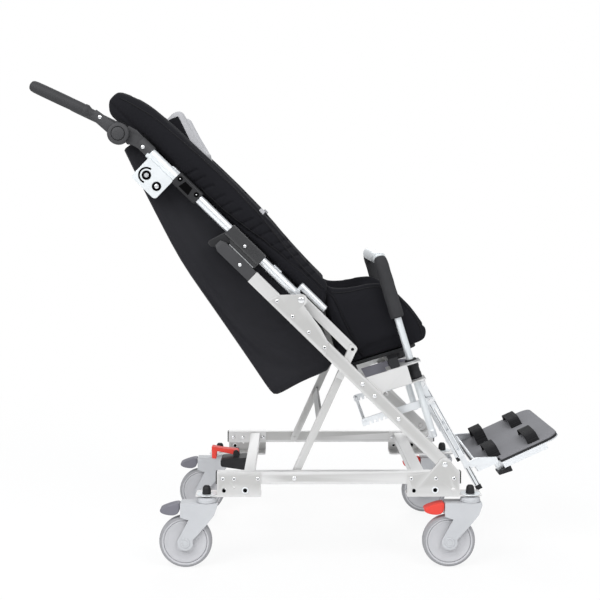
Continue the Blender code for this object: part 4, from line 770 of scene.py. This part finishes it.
def make_latch(side, sign):
    """The sliding sleeve on the back tube, with its broad pull tongue and grip bars."""
    body = f"latch_{side}"
    eased(f"fold_latch_{side}", "gloss_black", body, 0.004, 5, 40.0)
    tongue = [(0.748, 0.03), (0.76, -0.006), (0.7615, -0.012), (0.7575, -0.017), (0.7485, -0.0183),
              (0.7361, -0.0091), (0.715, 0.03)]
    softened(f"latch_tongue_{side}", slab(tongue, sign * 0.213, sign * 0.2305, on_leg), "black", body, (),
             0.003, 4, 60.0)
    flange = [(0.64, 0.033), (0.64, 0.016), (0.645, 0.0118), (0.717, 0.0118), (0.725, 0.02), (0.738, 0.033)]
    softened(f"latch_flange_{side}", slab(flange, sign * 0.21, sign * 0.232, on_leg), "gloss_black", body,
             (), 0.002, 3)
    # A thin polished steel strip along the flange's lower edge is a painted highlight, where light catches
    # the upper edge of the plug.
    strip = [(0.644, 0.0146), (0.72, 0.0146), (0.7215, 0.0166), (0.644, 0.0166)]
    piece(f"latch_highlight_strip_{side}", slab(strip, sign * 0.231, sign * 0.2327, on_leg), "steel", body)
    rib = ((-0.0012, -0.001), (-0.0008, 0.0008), (0.0008, 0.0008), (0.0012, -0.001))
    bars = []
    for step in range(5):
        along = 0.655 + 0.008 * step
        bars.append(loft([[on_leg(along + a, BACK_OFFSET + b, sign * (LATCH_FACE + c)) for a, c in rib]
                          for b in (-0.0085, 0.0085)]))
    piece(f"latch_ribs_{side}", bars, "gloss_black", body)
    place = on_leg(0.692, BACK_OFFSET - 0.003, sign * LATCH_FACE)
    piece(f"latch_rivet_{side}", dome_head(place, (0, sign, 0), 0.004, 0.0022), "steel", body)


def make_handle(side, sign):
    """The mount with its inner plate, the hinge disc, the cranked arm, the grip and the button."""
    out = (0, sign, 0)
    eased(f"handle_mount_{side}", "graphite", "back_frame", 0.0018, 3, 55.0)
    inner = [(1.004, 0.03), (1.004, 0.052), (1.03, 0.0535), (1.06, 0.0545), (1.0799, 0.049), (1.0825, 0.0195),
             (1.053, 0.015), (1.046, 0.0215), (1.03, 0.0255)]
    softened(f"handle_mount_plate_{side}", slab(inner, sign * 0.205, sign * 0.2094, on_leg), "graphite",
             "back_frame", (), 0.0016, 3, 50.0)
    body, node = f"handle_{side}", (f"push_handle_{side}",)
    hinge = Vector((-0.42431, sign * ARM_PLANE, 1.01719))
    start = hinge + Vector((-0.054, 0.0, 0.0432))
    hub = [(0.0, -0.0018), (0.0245, -0.0018), (0.0255, 0.0002), (0.0255, 0.0105), (0.0245, 0.0125),
           (0.0225, 0.0135), (0.0165, 0.0135), (0.0165, 0.0093), (0.0, 0.0093)]
    shapes = [turned(hub, 48, hinge, out), loft(handle_arm(hinge, start, sign))]
    piece(f"handle_hub_{side}", shapes, "graphite", body, node, 40.0)
    grip = [(0.0, -0.006), (0.009, -0.006), (0.0102, 0.004), (0.0106, 0.012), (0.0132, 0.0175),
            (0.0148, 0.02), (0.015, 0.0225), (0.015, 0.0262), (0.0146, 0.028), (0.0134, 0.0292),
            (0.0134, 0.031), (0.0138, 0.033), (0.014, 0.06), (0.0142, 0.09), (0.014, 0.13), (0.0136, 0.149),
            (0.0124, 0.157), (0.0098, 0.161), (0.006, 0.1629), (0.0, 0.1633)]
    rise = math.radians(25)
    mesh = turned(grip, 36, start, Vector((-math.cos(rise), 0.0, math.sin(rise))))
    piece(f"handle_grip_{side}", mesh, "rubber", body, node, 30.0)
    pin = dome_head((-0.4658, sign * (ARM_PLANE + 0.0096), 1.0548), out, 0.0045, 0.0018)
    piece(f"handle_pin_{side}", pin, "steel", body)
    button = [(0.0, 0.0118), (0.015, 0.0118), (0.015, 0.0147), (0.0142, 0.0158), (0.011, 0.0166),
              (0.006, 0.017), (0.0, 0.0171)]
    piece(f"handle_push_button_{side}", turned(button, 40, hinge, out), "graphite", f"button_{side}",
          (f"handle_button_{side}",), 30.0)


def handle_arm(hinge, start, sign):
    """The rings of the cranked arm, which runs from the hinge past the grip's start and clears the button."""
    reach = (start - hinge).length
    way = (start - hinge).normalized()
    across = Vector((way.z, 0.0, -way.x))
    rings = []
    for step in range(17):
        gone = reach * 1.06 * step / 16
        low, high = (-0.0095, 0.0098) if gone > 0.0278 else (-0.0015, 0.009)
        half = 0.0152 - 0.003 * gone / reach
        ring = []
        for a, b in circle(1.0, 20):
            side_step = math.copysign(abs(a) ** 0.6, a) * half
            depth = (low + high) / 2 + math.copysign(abs(b) ** 0.6, b) * (high - low) / 2
            ring.append(hinge + way * gone + across * side_step + Vector((0.0, sign * depth, 0.0)))
        rings.append(ring)
    return rings


# Seat frame, grab bar, leg rest and footplate

def make_seat_frame():
    eased("seat_pan", "black", "front_frame", 0.0016, 3)
    half = [(0.009, 0.0276), (0.013, 0.0276), (0.014, 0.0266), (0.014, 0.0236), (0.0115, 0.0236),
            (0.0115, 0.02), (0.015, 0.02), (0.016, 0.019), (0.016, 0.008), (0.015, 0.006)]
    flange = [(0.0121, 0.0), (0.0175, 0.0), (0.0178, 0.0004), (0.0178, 0.0028), (0.0175, 0.0032),
              (0.0121, 0.0032)]
    inner = [(-0.118, 0.034), (-0.056, 0.034), (-0.0076, 0.025), (-0.0086, 0.006), (-0.112, 0.006)]
    flanges, hexes, plates = [], [], []
    for side, sign in SIDES:
        eased(f"seat_bracket_{side}", "satin", "front_frame", 0.0007)
        middle = on_seat(0.0, 0.0, sign * POST_PLANE)
        bush = turned(mirrored(half)[::-1], 40, middle, UP_POST)
        piece(f"post_bush_body_{side}", bush, "black", "front_frame", (f"post_bush_{side}",), 35.0)
        for height in (0.0203, -0.0233):
            flanges.append(turned(flange, 40, middle + UP_POST * (height - 0.0001), UP_POST))
        plates.append(slab(inner, sign * 0.15, sign * 0.152, on_seat))
        hexes.append(hex_head(on_seat(-0.03, 0.012, sign * 0.2278), (0, -sign, 0), 0.0055, 0.0035))
    piece("bush_flanges", flanges, "zinc", "front_frame")
    piece("bracket_bolts", hexes, "steel", "front_frame")
    piece("seat_side_plates", plates, "dark_grey", "front_frame")


def make_grab_bar():
    """The bent tube with a cuff along its top, its end caps and a foam sleeve on each post."""
    top, bend = 0.2826, 0.022
    route = [(-POST_PLANE, BAR_FOOT), (-POST_PLANE, top - bend)]
    route += arc((-POST_PLANE + bend, top - bend), bend, 180, 90, 12)[1:]
    route += arc((POST_PLANE - bend, top - bend), bend, 90, 0, 12)
    route.append((POST_PLANE, BAR_FOOT))
    points = [on_seat(0.0, z, y) for y, z in route]
    cuff = mirrored([(0.006, 0.178), (0.014, 0.178), (0.0155, 0.175)])
    shapes = [swept(points, circle(0.0085, 28), FORWARD),
              turned(cuff, 40, on_seat(0.0, top - 0.0045), (0, 1, 0))]
    piece("grab_bar_tube", shapes, "white_zinc", "grab_bar", ("grab_bar",), 50.0)
    cap = [(0.0, -0.008), (0.007, -0.008), (0.0088, -0.0062), (0.0094, -0.004), (0.0094, 0.011),
           (0.0088, 0.012), (0.0, 0.012)]
    sleeve = [(0.0, 0.132), (0.014, 0.1318), (0.0155, 0.1332), (0.0163, 0.1365)]
    sleeve += [(0.0165 + 0.0003 * math.sin(step * 1.7), 0.14 + step * 0.01) for step in range(13)]
    sleeve += [(0.0163, 0.268), (0.0152, 0.275), (0.013, 0.28), (0.0095, 0.2832), (0.005, 0.2845),
               (0.0, 0.2848)]
    caps = []
    for side, sign in SIDES:
        caps.append(turned(cap, 32, on_seat(0.0, BAR_FOOT, sign * POST_PLANE), UP_POST))
        mesh = turned(sleeve, 40, on_seat(0.0, 0.0, sign * POST_PLANE), UP_POST)
        foam = piece(f"grab_bar_pad_{side}", mesh, "foam", "grab_bar", (f"grab_bar_foam_{side}",), 40.0)
    piece("grab_bar_caps", caps, "zinc", "grab_bar")


def make_leg_rest():
    eased("leg_rest_frame", "zinc", "leg_rest", 0.00035)
    eased("leg_rest_rack", "zinc", "rack", 0.0005)
    eased("foot_extension", "zinc", "foot_extension", 0.0007)
    eased("footplate", "zinc", "footplate", 0.0006)
    heads, caps, lines, edges = [], [], [], []
    for _, sign in SIDES:
        out = (0, sign, 0)
        # Thin near-black strips along the foot extension are painted shade of its grooves.
        for across in (-0.004, 0.004):
            line = box(0.238, across - 0.0008, 0.288, across + 0.0008)
            lines.append(slab(line, sign * 0.16, sign * 0.16082, on_rest))
        # Thin graphite strips along the leg rest rails are painted shade of their grooves.
        for across in (-0.0071, 0.0071):
            line = box(0.022, across - 0.0006, 0.202, across + 0.0006)
            edges.append(slab(line, sign * 0.169, sign * 0.16962, on_rest))
        heads.append(hex_head(on_rest(0.0, 0.0, sign * 0.1782), out, 0.0072, 0.003))
        heads.append(hex_head(on_rest(0.0462, 0.0, sign * 0.179), out, 0.0055, 0.0026))
        end = on_rest(0.298, 0.0, sign * 0.1565)
        outline = box(-0.0042, -0.0076, 0.0042, 0.0076)
        caps.append(swept([end - DOWN_REST * 0.01, end, end + DOWN_REST * 0.0016], outline, (0, 1, 0)))
    piece("leg_rest_bolts", heads, "steel", "leg_rest")
    piece("foot_extension_caps", caps, "black", "foot_extension")
    # Painted shade of the foot extension's grooves.
    piece("foot_extension_shade_lines", lines, "shade_fill", "foot_extension")
    # Painted shade along the leg rest rails.
    piece("leg_rest_shade_lines", edges, "graphite", "leg_rest")
    make_mat()


def make_mat():
    """The mat on the footplate with its edging, the four webbing straps across it and the stops below."""
    base, depth = -0.024 + 0.0003, 0.009
    neck, half, end, corner, notch, start = 0.1435, 0.17, 0.21, 0.032, 0.057, -0.002
    outline = [(start, -neck), (notch, -neck), (notch, -half),
               *arc((end - corner, corner - half), corner, -90, 0, 8),
               *arc((end - corner, half - corner), corner, 0, 90, 8),
               (notch, half), (notch, neck), (start, neck)]

    def lie(along, y, level):
        return on_plate(along, level, y)

    mesh = slab(outline, base, base + depth, lie)
    softened("footplate_rubber", mesh, "mat", "footplate", ("footplate_mat",), 0.0016, 3, 30.0)
    rim = [(0.104 + (a - 0.104) * 1.006, y * 1.004) for a, y in outline]
    piece("footplate_edging", slab(rim, base + 0.0006, base + 0.0052, lie), "black", "footplate", (), 30.0)
    stop = [(0.039, -0.048), (0.074, -0.042), (0.074, -0.059), (0.039, -0.055)]
    stops = []
    for side, sign in SIDES:
        rise = 0.022 if sign < 0 else 0.032
        strap(f"foot_strap_heel_{side}", 0.05, sign * 0.029, sign * 0.1405, base + depth, rise)
        strap(f"foot_strap_toe_{side}", 0.149, sign * 0.041, sign * 0.16, base + depth, 0.018)
        stops.append(slab(stop, sign * 0.1145, sign * 0.158, on_plate))
    softened("footplate_stops", stops, "black", "footplate", (), 0.002, 3)


def strap(name, along, first, last, floor, height):
    """A strap laid across the mat, its ends sewn down and its middle standing up."""
    width, thick = 0.03, 0.0016
    way = math.copysign(1.0, last - first)
    rows = ((0.0, 0.0), (0.006, 0.01), (0.0085, 0.12), (0.01, 0.36), (0.0125, 0.64), (0.019, 0.86),
            (0.033, 0.975))
    rows = [(step, 0.0002 + share * height) for step, share in rows]
    path = [(first + way * step, rise) for step, rise in rows]
    path.append(((first + last) / 2, height))
    path += [(last - way * step, rise) for step, rise in reversed(rows)]
    points = [on_plate(along, floor + 0.0011 + rise, y) for y, rise in path]
    outline = box(-width / 2, -thick / 2, width / 2, thick / 2)
    made = piece(name, swept(points, outline, ALONG_PLATE), "webbing", "footplate", (), 50.0)
    length = sum((b - a).length for a, b in zip(points, points[1:]))


# Upholstery

# Lines of the back pad, as (along the leg, off it) rows: its walls' crest, rear face, side seam, lower fold
BACK_CREST = ((0.5, 0.108), (0.545, 0.108), (0.58, 0.11), (0.64, 0.114), (0.722, 0.1225), (0.82, 0.1255),
              (0.89, 0.125), (0.99, 0.1235), (1.04, 0.1214), (1.073, 0.1187), (1.097, 0.1146), (1.13, 0.106),
              (1.148, 0.0995), (1.16, 0.094), (1.168, 0.088))
BACK_REAR = ((1.045, 0.0545), (1.075, 0.047), (1.107, 0.039), (1.13, 0.036), (1.148, 0.0385), (1.16, 0.045),
             (1.168, 0.055))
BACK_SEAM = ((0.485, 0.0975), (0.536, 0.0965), (0.569, 0.097), (0.64, 0.106), (0.725, 0.117), (0.82, 0.1195),
             (0.89, 0.1172), (0.94, 0.114), (0.99, 0.1112), (1.042, 0.107), (1.086, 0.1005), (1.12, 0.0925),
             (1.15, 0.087), (1.168, 0.084))
BACK_FOLD = ((0.482, 0.0901), (0.523, 0.0898), (0.561, 0.0893), (0.609, 0.0832), (0.659, 0.0762),
             (0.726, 0.0636), (0.792, 0.056), (0.86, 0.0545))

# Lines of the seat pad, as (forward, up the post) rows: its walls' crest and its piping
SEAT_WALL = ((-0.152, 0.27), (-0.146, 0.2655), (-0.1428, 0.2597), (-0.1295, 0.2475), (-0.1114, 0.2402),
             (-0.09, 0.2352), (-0.068, 0.232), (-0.045, 0.2303), (-0.018, 0.2245), (0.0, 0.211),
             (0.0141, 0.1978), (0.0221, 0.1833), (0.0394, 0.1513), (0.053, 0.1208), (0.062, 0.1015))
SEAT_PIPING = ((-0.1335, 0.2369), (-0.1246, 0.2324), (-0.1033, 0.2263), (-0.0712, 0.224), (-0.0489, 0.2234),
               (-0.0181, 0.2176), (0.0141, 0.1914), (0.0221, 0.1763), (0.0394, 0.1443), (0.0512, 0.1144),
               (0.053, 0.0913), (0.0528, 0.064))

# The crest of the headrest's wings, as (along the leg, off it) rows
HEAD_WING = ((0.908, 0.122), (0.915, 0.128), (0.975, 0.1445), (1.01, 0.156), (1.021, 0.1602), (1.033, 0.159),
             (1.043, 0.147))

# The seat's side seam: how far forward it starts at the top, that height, and its lean
SEAM_START, SEAM_TOP, SEAM_LEAN = -0.1357, 0.2305, 0.166


def smooth_points(data, rounds):
    """Even out a mesh by moving each point towards the middle of its neighbours."""
    mesh = bmesh.new()
    mesh.from_mesh(data)
    for _ in range(rounds):
        bmesh.ops.smooth_vert(mesh, verts=mesh.verts[:], factor=0.5, use_axis_x=True, use_axis_y=True,
                              use_axis_z=True)
    mesh.to_mesh(data)
    mesh.free()


def inset_points(data, depth):
    """Move each point of a mesh in along its normal."""
    normals = [vert.normal.copy() for vert in data.vertices]
    for vert, normal in zip(data.vertices, normals):
        vert.co -= normal * depth
    data.update()


def run_cloth(made, cap, pressure, held=None):
    """Simulate a piece as cloth and keep the result.

    No point moves further than cap, and under pressure none moves further in than a share of it.
    """
    start = [(vert.co.copy(), vert.normal.copy()) for vert in made.data.vertices]
    cloth = made.modifiers.new("cloth", "CLOTH")
    settings, cache = cloth.settings, cloth.point_cache
    settings.quality = 4
    settings.mass = 0.25
    settings.tension_stiffness = settings.compression_stiffness = CLOTH_STIFFNESS
    if pressure:
        settings.use_pressure = True
        settings.uniform_pressure_force = pressure
        settings.effector_weights.gravity = 0.0
    if held:
        settings.vertex_group_mass = held
    cache.frame_start = 1
    cache.frame_end = CLOTH_FRAMES
    scene = bpy.context.scene
    for step in range(1, CLOTH_FRAMES + 1):
        scene.frame_set(step)
    apply_modifiers(made)
    scene.frame_set(1)
    for vert, (old, normal) in zip(made.data.vertices, start):
        move = vert.co - old
        limit = INWARD_SHARE * cap if pressure and move.dot(normal) < 0.0 else cap
        if move.length > limit:
            vert.co = old + move.normalized() * limit
    made.data.update()


def stuffed(name, mesh, finish, voxel, rounds=3):
    """A padded piece: remeshed finely, drawn in, then blown up as cloth."""
    made = linked(name, mesh, finish)
    modified(made, "REMESH", mode="VOXEL", voxel_size=voxel)
    smooth_points(made.data, rounds)
    inset_points(made.data, PAD_INSET)
    run_cloth(made, PAD_SWELL, PAD_PRESSURE)
    modified(made, "SUBSURF", levels=1, render_levels=1)
    made.data.materials.clear()
    made.data.materials.append(FINISH[finish])
    return made


def finish_pad(made, body, node):
    """Put a pad on its body."""
    settle(made, body, (node,), 0)
    return made


def flatten(made):
    """Give a piece of the back's upholstery a mesh of its own."""
    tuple(on_leg(0.700, PAD_REAR))
    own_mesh(made)


def surface_of(made):
    mesh = bmesh.new()
    mesh.from_mesh(made.data)
    tree = BVHTree.FromBMesh(mesh)
    mesh.free()
    return tree


def piped(name, tree, points, body, radius):
    """Piping sewn along a line of points that is first laid on a pad's surface."""
    laid, lift = [], 0.0004
    for point in points:
        place, normal, _, _ = tree.find_nearest(point)
        laid.append(place + normal * lift)
    for _ in range(2):
        laid = [laid[0]] + [(a + b * 2 + c) / 4 for a, b, c in zip(laid, laid[1:], laid[2:])] + [laid[-1]]
    return piece(name, swept(laid, circle(radius, 10), (0.11, 0.97, 0.2)), "piping", body, (), 60.0)


def finer(points, steps):
    """The same line with more points on it."""
    line = []
    for first, second in zip(points, points[1:]):
        line += [first.lerp(second, step / steps) for step in range(steps)]
    return line + [points[-1]]


def groove(data, line, depth, width, keep=None):
    """Press a seam into a pad: line gives a point's distance from the seam, keep whether it may move."""
    normals = [vert.normal.copy() for vert in data.vertices]
    for vert, normal in zip(data.vertices, normals):
        if keep is None or keep(vert.co, normal):
            vert.co -= normal * (depth * math.exp(-(line(vert.co) / width) ** 2))
    data.update()


def bucket_ring(half, base, middle, wall, seam, width):
    """One cross-section of a bucket pad as (y, height) points: floor, padded walls and outer faces."""
    floor = half - width
    wall = max(wall, middle)
    seam = min(seam, wall - 0.003)
    right = [(half * 0.96, base), (half * 0.992, base + 0.25 * (seam - base)),
             (half, base + 0.6 * (seam - base)), (half - 0.001, seam),
             (half - 0.22 * width, wall - 0.0025), (half - 0.42 * width, wall),
             (half - 0.7 * width, wall - 0.003), (floor + 0.002, wall - 0.4 * (wall - middle)),
             (floor, middle + 0.25 * (wall - middle)), (floor * 0.93, middle - 0.003),
             (floor * 0.5, middle + 0.003)]
    left = [(-y, height) for y, height in right]
    return left + [(0.0, middle + 0.005)] + right[::-1] + [(half * 0.4, base), (-half * 0.4, base)]


def make_back_cushion():
    """The padded back: sewn channels on a hollow front, full walls, drawn-in sides and a thick rolled top."""
    low, high, count, channels = 0.505, 1.168, 58, 8
    half_width, wall_width, floor = 0.187, 0.06, 0.0915
    toe_length, toe_share = 0.06, 0.16
    sections = []
    for step in range(count):
        share = step / (count - 1)
        along = low + (high - low) * share
        rise = max(0.0, (along - 0.98) / 0.188)
        half = half_width - 0.02 * rise ** 2 - 0.016 * rise ** 8
        crest = between(BACK_CREST, along)
        middle = min(floor, crest - 0.003)
        rear, seam = between(BACK_REAR, along), between(BACK_SEAM, along)
        ring = bucket_ring(half, rear, middle, crest, seam, wall_width)
        toe = toe_length * max(0.0, 1.0 - share / toe_share)
        sections.append([on_leg(along - toe * max(0.0, 0.128 - height) / 0.0735, height, y)
                         for y, height in ring])
    made = stuffed("back_pad", loft(sections), "fabric", 0.006)
    seams = [low + (high - low) * (index + 0.5) / channels for index in range(channels)]
    pitch = 0.029

    def channel(point):
        along = on_leg.terms(point)[0]
        return min(abs(along - 0.25 * max(0.0, 0.13 - abs(point.y)) - seam) for seam in seams)

    def front(point, normal):
        return normal.dot(OFF_LEG) > 0.25 and abs(point.y) < 0.15

    def over_fold(point):
        along, offset = on_leg.terms(point)
        return along, offset - between(BACK_FOLD, along)

    def drawn(point, normal):
        along, over = over_fold(point)
        return abs(normal.y) > 0.5 and 0.0 < over < 0.034 and 0.53 < along < 0.93

    def pucker(point):
        along, over = over_fold(point)
        place = along + 0.35 * over + 0.004 * math.sin(along * 71.0)
        return abs((place / pitch) % 1.0 - 0.5) * pitch

    def flank(point, normal):
        return abs(normal.y) > 0.5

    def fold(point):
        return abs(over_fold(point)[1])

    groove(made.data, channel, 0.004, 0.006, front)
    groove(made.data, fold, 0.003, 0.004, flank)
    groove(made.data, pucker, 0.0034, 0.0034, drawn)
    finish_pad(made, "back_frame", "back_cushion")
    tree = surface_of(made)
    flatten(made)
    tab = [(0.7135, 0.116), (0.729, 0.116), (0.7275, 0.128), (0.715, 0.128)]
    for side, sign in SIDES:
        edge = [on_leg(place, between(BACK_SEAM, place), sign * 0.19) for place in spaced(0.49, 1.164, 72)]
        flatten(piped(f"back_piping_front_{side}", tree, edge, "back_frame", 0.0017))
        lower = [on_leg(place, between(BACK_FOLD, place), sign * 0.19) for place in spaced(0.486, 0.86, 46)]
        flatten(piped(f"back_piping_fold_{side}", tree, lower, "back_frame", 0.0013))
        mesh = slab(tab, sign * 0.172, sign * 0.1745, on_leg)
        flatten(softened(f"back_tab_{side}", mesh, "grey_fabric", "back_frame", (), 0.0008, 2))


def make_seat_cushion():
    """The bucket seat: a padded floor, a rear wall, side walls that fall away to the front, a rolled nose."""
    base, rear, nose, level = 0.055, -0.152, 0.062, 0.08
    half_width, wall_width, floor, rear_wall = 0.17, 0.034, 0.062, 0.068
    sections = []
    for x in spaced(rear, nose, 44):
        share = (x - rear) / (nose - rear)
        over = max(0.0, (x - 0.043) / 0.0195)
        roll = max(0.3, math.sqrt(max(0.0, 1.0 - over ** 2)))
        half = half_width * (1.0 - 0.06 * max(0.0, share - 0.75) / 0.25) - 0.01 * (1.0 - roll)
        wall = between(SEAT_WALL, x)
        middle = base + floor * (1.0 - 0.1 * share ** 3)
        middle += rear_wall * min(1.0, max(0.0, (rear + 0.022 - x) / 0.01))
        ring = bucket_ring(half, base, middle, wall, wall - 0.0075, wall_width)
        lean = 0.011 * (1.0 - share)
        sections.append([on_seat(x - lean * (0.256 - height) / 0.201, level + (height - level) * roll, y)
                         for y, height in ring])
    made = stuffed("seat_pad", loft(sections), "fabric", 0.005)

    def cross_seam(point):
        x = on_seat.terms(point)[0]
        return min(abs(x - place) for place in (-0.085, -0.03, 0.022))

    def inside(point, normal):
        return abs(point.y) < 0.128 and normal.dot(UP_POST) > 0.3

    def side_seam(point):
        x, z = on_seat.terms(point)
        return abs(x - SEAM_START - (SEAM_TOP - z) * SEAM_LEAN)

    def flank(point, normal):
        return abs(normal.y) > 0.6

    def nose_seam(point):
        return abs(on_seat.terms(point)[1] - 0.091)

    def ahead(point, normal):
        return normal.dot(FORWARD) > 0.5 and on_seat.terms(point)[0] > 0.02

    groove(made.data, cross_seam, 0.0032, 0.006, inside)
    groove(made.data, side_seam, 0.0034, 0.0036, flank)
    groove(made.data, nose_seam, 0.003, 0.0045, ahead)
    finish_pad(made, "front_frame", "seat_cushion")
    tree = surface_of(made)
    for side, sign in SIDES:
        top = [on_seat(x, z, sign * 0.176) for x, z in SEAT_PIPING]
        piped(f"seat_piping_{side}", tree, finer(top, 4), "front_frame", 0.0016)
        down = [on_seat(SEAM_START + (SEAM_TOP - z) * SEAM_LEAN, z, sign * 0.176)
                for z in spaced(0.235, 0.064, 24)]
        piped(f"seat_seam_{side}", tree, down, "front_frame", 0.0013)


def make_headrest():
    """A hollow grey pad with two padded wings, and a black panel outside each wing."""
    low, high, base, floor = 0.908, 1.043, 0.0938, 0.124
    half_width, wall_width = 0.114, 0.034
    sections = []
    for along in spaced(low, high, 28):
        wing = between(HEAD_WING, along)
        middle = min(floor, wing - 0.003)
        ends = min(along - low, high - along) / 0.012
        half = half_width - 0.006 * max(0.0, 1.0 - ends) ** 2
        ring = bucket_ring(half, base, middle, wing, wing - 0.006, wall_width)
        sections.append([on_leg(along, height, y) for y, height in ring])
    made = stuffed("headrest_pad_cover", loft(sections), "grey_fabric", 0.004, 2)

    def seam(point):
        return abs(abs(point.y) - 0.076)

    groove(made.data, seam, 0.0035, 0.0045)
    flatten(finish_pad(made, "headrest", "headrest_pad"))
    panel = [(0.925, 0.0985), (1.036, 0.0985), (1.037, 0.118), (1.0335, 0.13), (1.0265, 0.1445),
             (1.006, 0.1375), (0.964, 0.122), (0.93, 0.107)]
    for side, sign in SIDES:
        mesh = slab(panel, sign * 0.112, sign * 0.1168, on_leg)
        flatten(softened(f"headrest_panel_{side}", mesh, "fabric", "headrest", (), 0.002, 3, 50.0))


def make_bag():
    """A cloth bag, open at the top, hung from the frame so that its sides and its bottom sag."""
    front, half, rows_in = PAD_REAR - 0.012 - 0.0006, 0.1955, 9
    rear = [(0.956, -0.038), (0.869, -0.0675), (0.782, -0.097), (0.6975, -0.1135), (0.613, -0.13),
            (0.5565, -0.1413), (0.5, -0.1525), (0.449, -0.1633), (0.398, -0.1741), (0.3876, -0.1709),
            (0.377, -0.137), (0.367, -0.1035), (0.3497, -0.061), (0.3323, -0.0188), (0.394, 0.0115),
            (0.455, front)]
    outline = [(1.055, -0.003), *rear, *[(along, front) for along in spaced(0.455, 1.045, 13)[1:]]]
    middle = (0.6, -0.045)
    mesh = bmesh.new()
    levels = []
    for share in (0.0, 0.12, 0.3, 0.5, 0.7, 0.88, 1.0):
        y = -half + 2 * half * share
        sag = 0.005 * math.sin(math.pi * share)
        ring = []
        for along, offset in outline:
            pull = Vector((middle[0] - along, middle[1] - offset))
            pull.normalize()
            ring.append(mesh.verts.new(on_leg(along + pull.x * sag, offset + pull.y * sag, y)))
        levels.append(ring)
    held = [*levels[0], *levels[-1]]
    for level in levels[1:-1]:
        held += [level[0], *level[len(rear):]]
    for lower, upper in zip(levels, levels[1:]):
        for a, b, c, d in zip(lower, lower[1:], upper[1:], upper):
            mesh.faces.new((a, b, c, d))
    for sign, ring in ((-1, levels[0]), (1, levels[-1])):
        for row in range(1, rows_in):
            share = row / rows_in
            line = []
            for along, offset in outline:
                a, b = along + (middle[0] - along) * share, offset + (middle[1] - offset) * share
                bow = 0.004 * math.sin(math.pi * share) + 0.0022 * math.sin(40 * (a + 0.8 * b)) * share
                line.append(mesh.verts.new(on_leg(a, b, sign * (half - max(0.0, bow)))))
            stitch(mesh, ring, line)
            ring = line
        mesh.faces.new(ring)
    mesh.verts.index_update()
    pins = [vert.index for vert in held]
    made = linked("bag_cloth", mesh, "bag")
    made.vertex_groups.new(name="held").add(pins, 1.0, "REPLACE")
    modified(made, "SUBSURF", levels=1, render_levels=1)
    run_cloth(made, 0.0045, 0.0, "held")
    made.vertex_groups.clear()
    modified(made, "SOLIDIFY", thickness=0.0022, offset=-1.0)
    settle(made, "back_frame", ("storage_bag",), 45.0)


# Studio

def make_studio():
    """White surroundings, three lamps and the camera."""
    scene = bpy.context.scene
    scene.view_settings.view_transform = "Standard"
    make_floor()
    world = bpy.data.worlds.new("studio")
    scene.world = world
    world.use_nodes = True
    nodes, links = world.node_tree.nodes, world.node_tree.links
    nodes.clear()
    seen = nodes.new("ShaderNodeLightPath")
    ambient, white = nodes.new("ShaderNodeBackground"), nodes.new("ShaderNodeBackground")
    ambient.inputs["Color"].default_value = (0.96, 0.98, 1.0, 1.0)
    ambient.inputs["Strength"].default_value = 0.62
    white.inputs["Color"].default_value = (1.0, 1.0, 1.0, 1.0)
    blend, out = nodes.new("ShaderNodeMixShader"), nodes.new("ShaderNodeOutputWorld")
    links.new(seen.outputs["Is Camera Ray"], blend.inputs[0])
    links.new(ambient.outputs[0], blend.inputs[1])
    links.new(white.outputs[0], blend.inputs[2])
    links.new(blend.outputs[0], out.inputs[0])
    area_light("key", (-1.6, -2.4, 2.8), 2.2, 62.0)
    area_light("fill", (1.2, -2.2, 2.6), 1.4, 30.0)
    area_light("back", (0.2, 2.6, 2.6), 2.4, 40.0)
    camera = bpy.data.objects.new("camera", bpy.data.cameras.new("camera"))
    scene.collection.objects.link(camera)
    camera.data.lens = 65.64
    camera.data.sensor_width = 36.0
    camera.location = (-0.025, -2.78, 0.825)
    camera.rotation_euler = (math.radians(90.0 - 4.339), 0.0, math.radians(-0.470))
    scene.camera = camera


def make_floor(reach=12.0):
    """A pale floor that shows white to the camera, keeps a soft shadow and has no edge in the distance."""
    data = bpy.data.meshes.new("floor")
    corners = [(x, y, 0) for x, y in box(-reach, -reach, reach, reach)]
    data.from_pydata(corners, [], [(0, 1, 2, 3)])
    floor = bpy.data.objects.new("floor", data)
    bpy.context.scene.collection.objects.link(floor)
    made = Finish("studio_floor", roughness=0.85)
    made.set("Base Color", made.mix(made.noise(3.0, 2.0), (0.9, 0.9, 0.9), (0.93, 0.93, 0.93)))
    glow = made.add("Emission", None, {"Color": (1.0, 1.0, 1.0), "Strength": 1.0})
    seen = made.add("LightPath", output="Is Camera Ray")
    x, y, _ = made.axes(made.place())
    near, fade, least = 0.9, 1.6, 0.86
    away = ((x * x + y * y) ** 0.5 - near) / fade
    share = least + 0.14 * away.at_least(0.0).at_most(1.0)
    shown = made.add("MixShader", None, {0: seen * share, 1: Value(made, made.shader.outputs[0]), 2: glow})
    made.feed(made.tree.nodes["Material Output"].inputs["Surface"], shown)
    data.materials.append(made.material)


def area_light(name, place, size, power):
    """A round lamp that points at the middle of the stroller."""
    data = bpy.data.lights.new(name, "AREA")
    data.shape = "DISK"
    data.size = size
    data.energy = power
    made = bpy.data.objects.new(name, data)
    made.location = place
    made.rotation_euler = (Vector((0.0, 0.0, 0.6)) - Vector(place)).to_track_quat("-Z", "Y").to_euler()
    bpy.context.scene.collection.objects.link(made)


make_castors()
make_base()
make_side_frames()
make_back()
make_seat_frame()
make_grab_bar()
make_leg_rest()
make_back_cushion()
make_seat_cushion()
make_headrest()
make_bag()
make_studio()
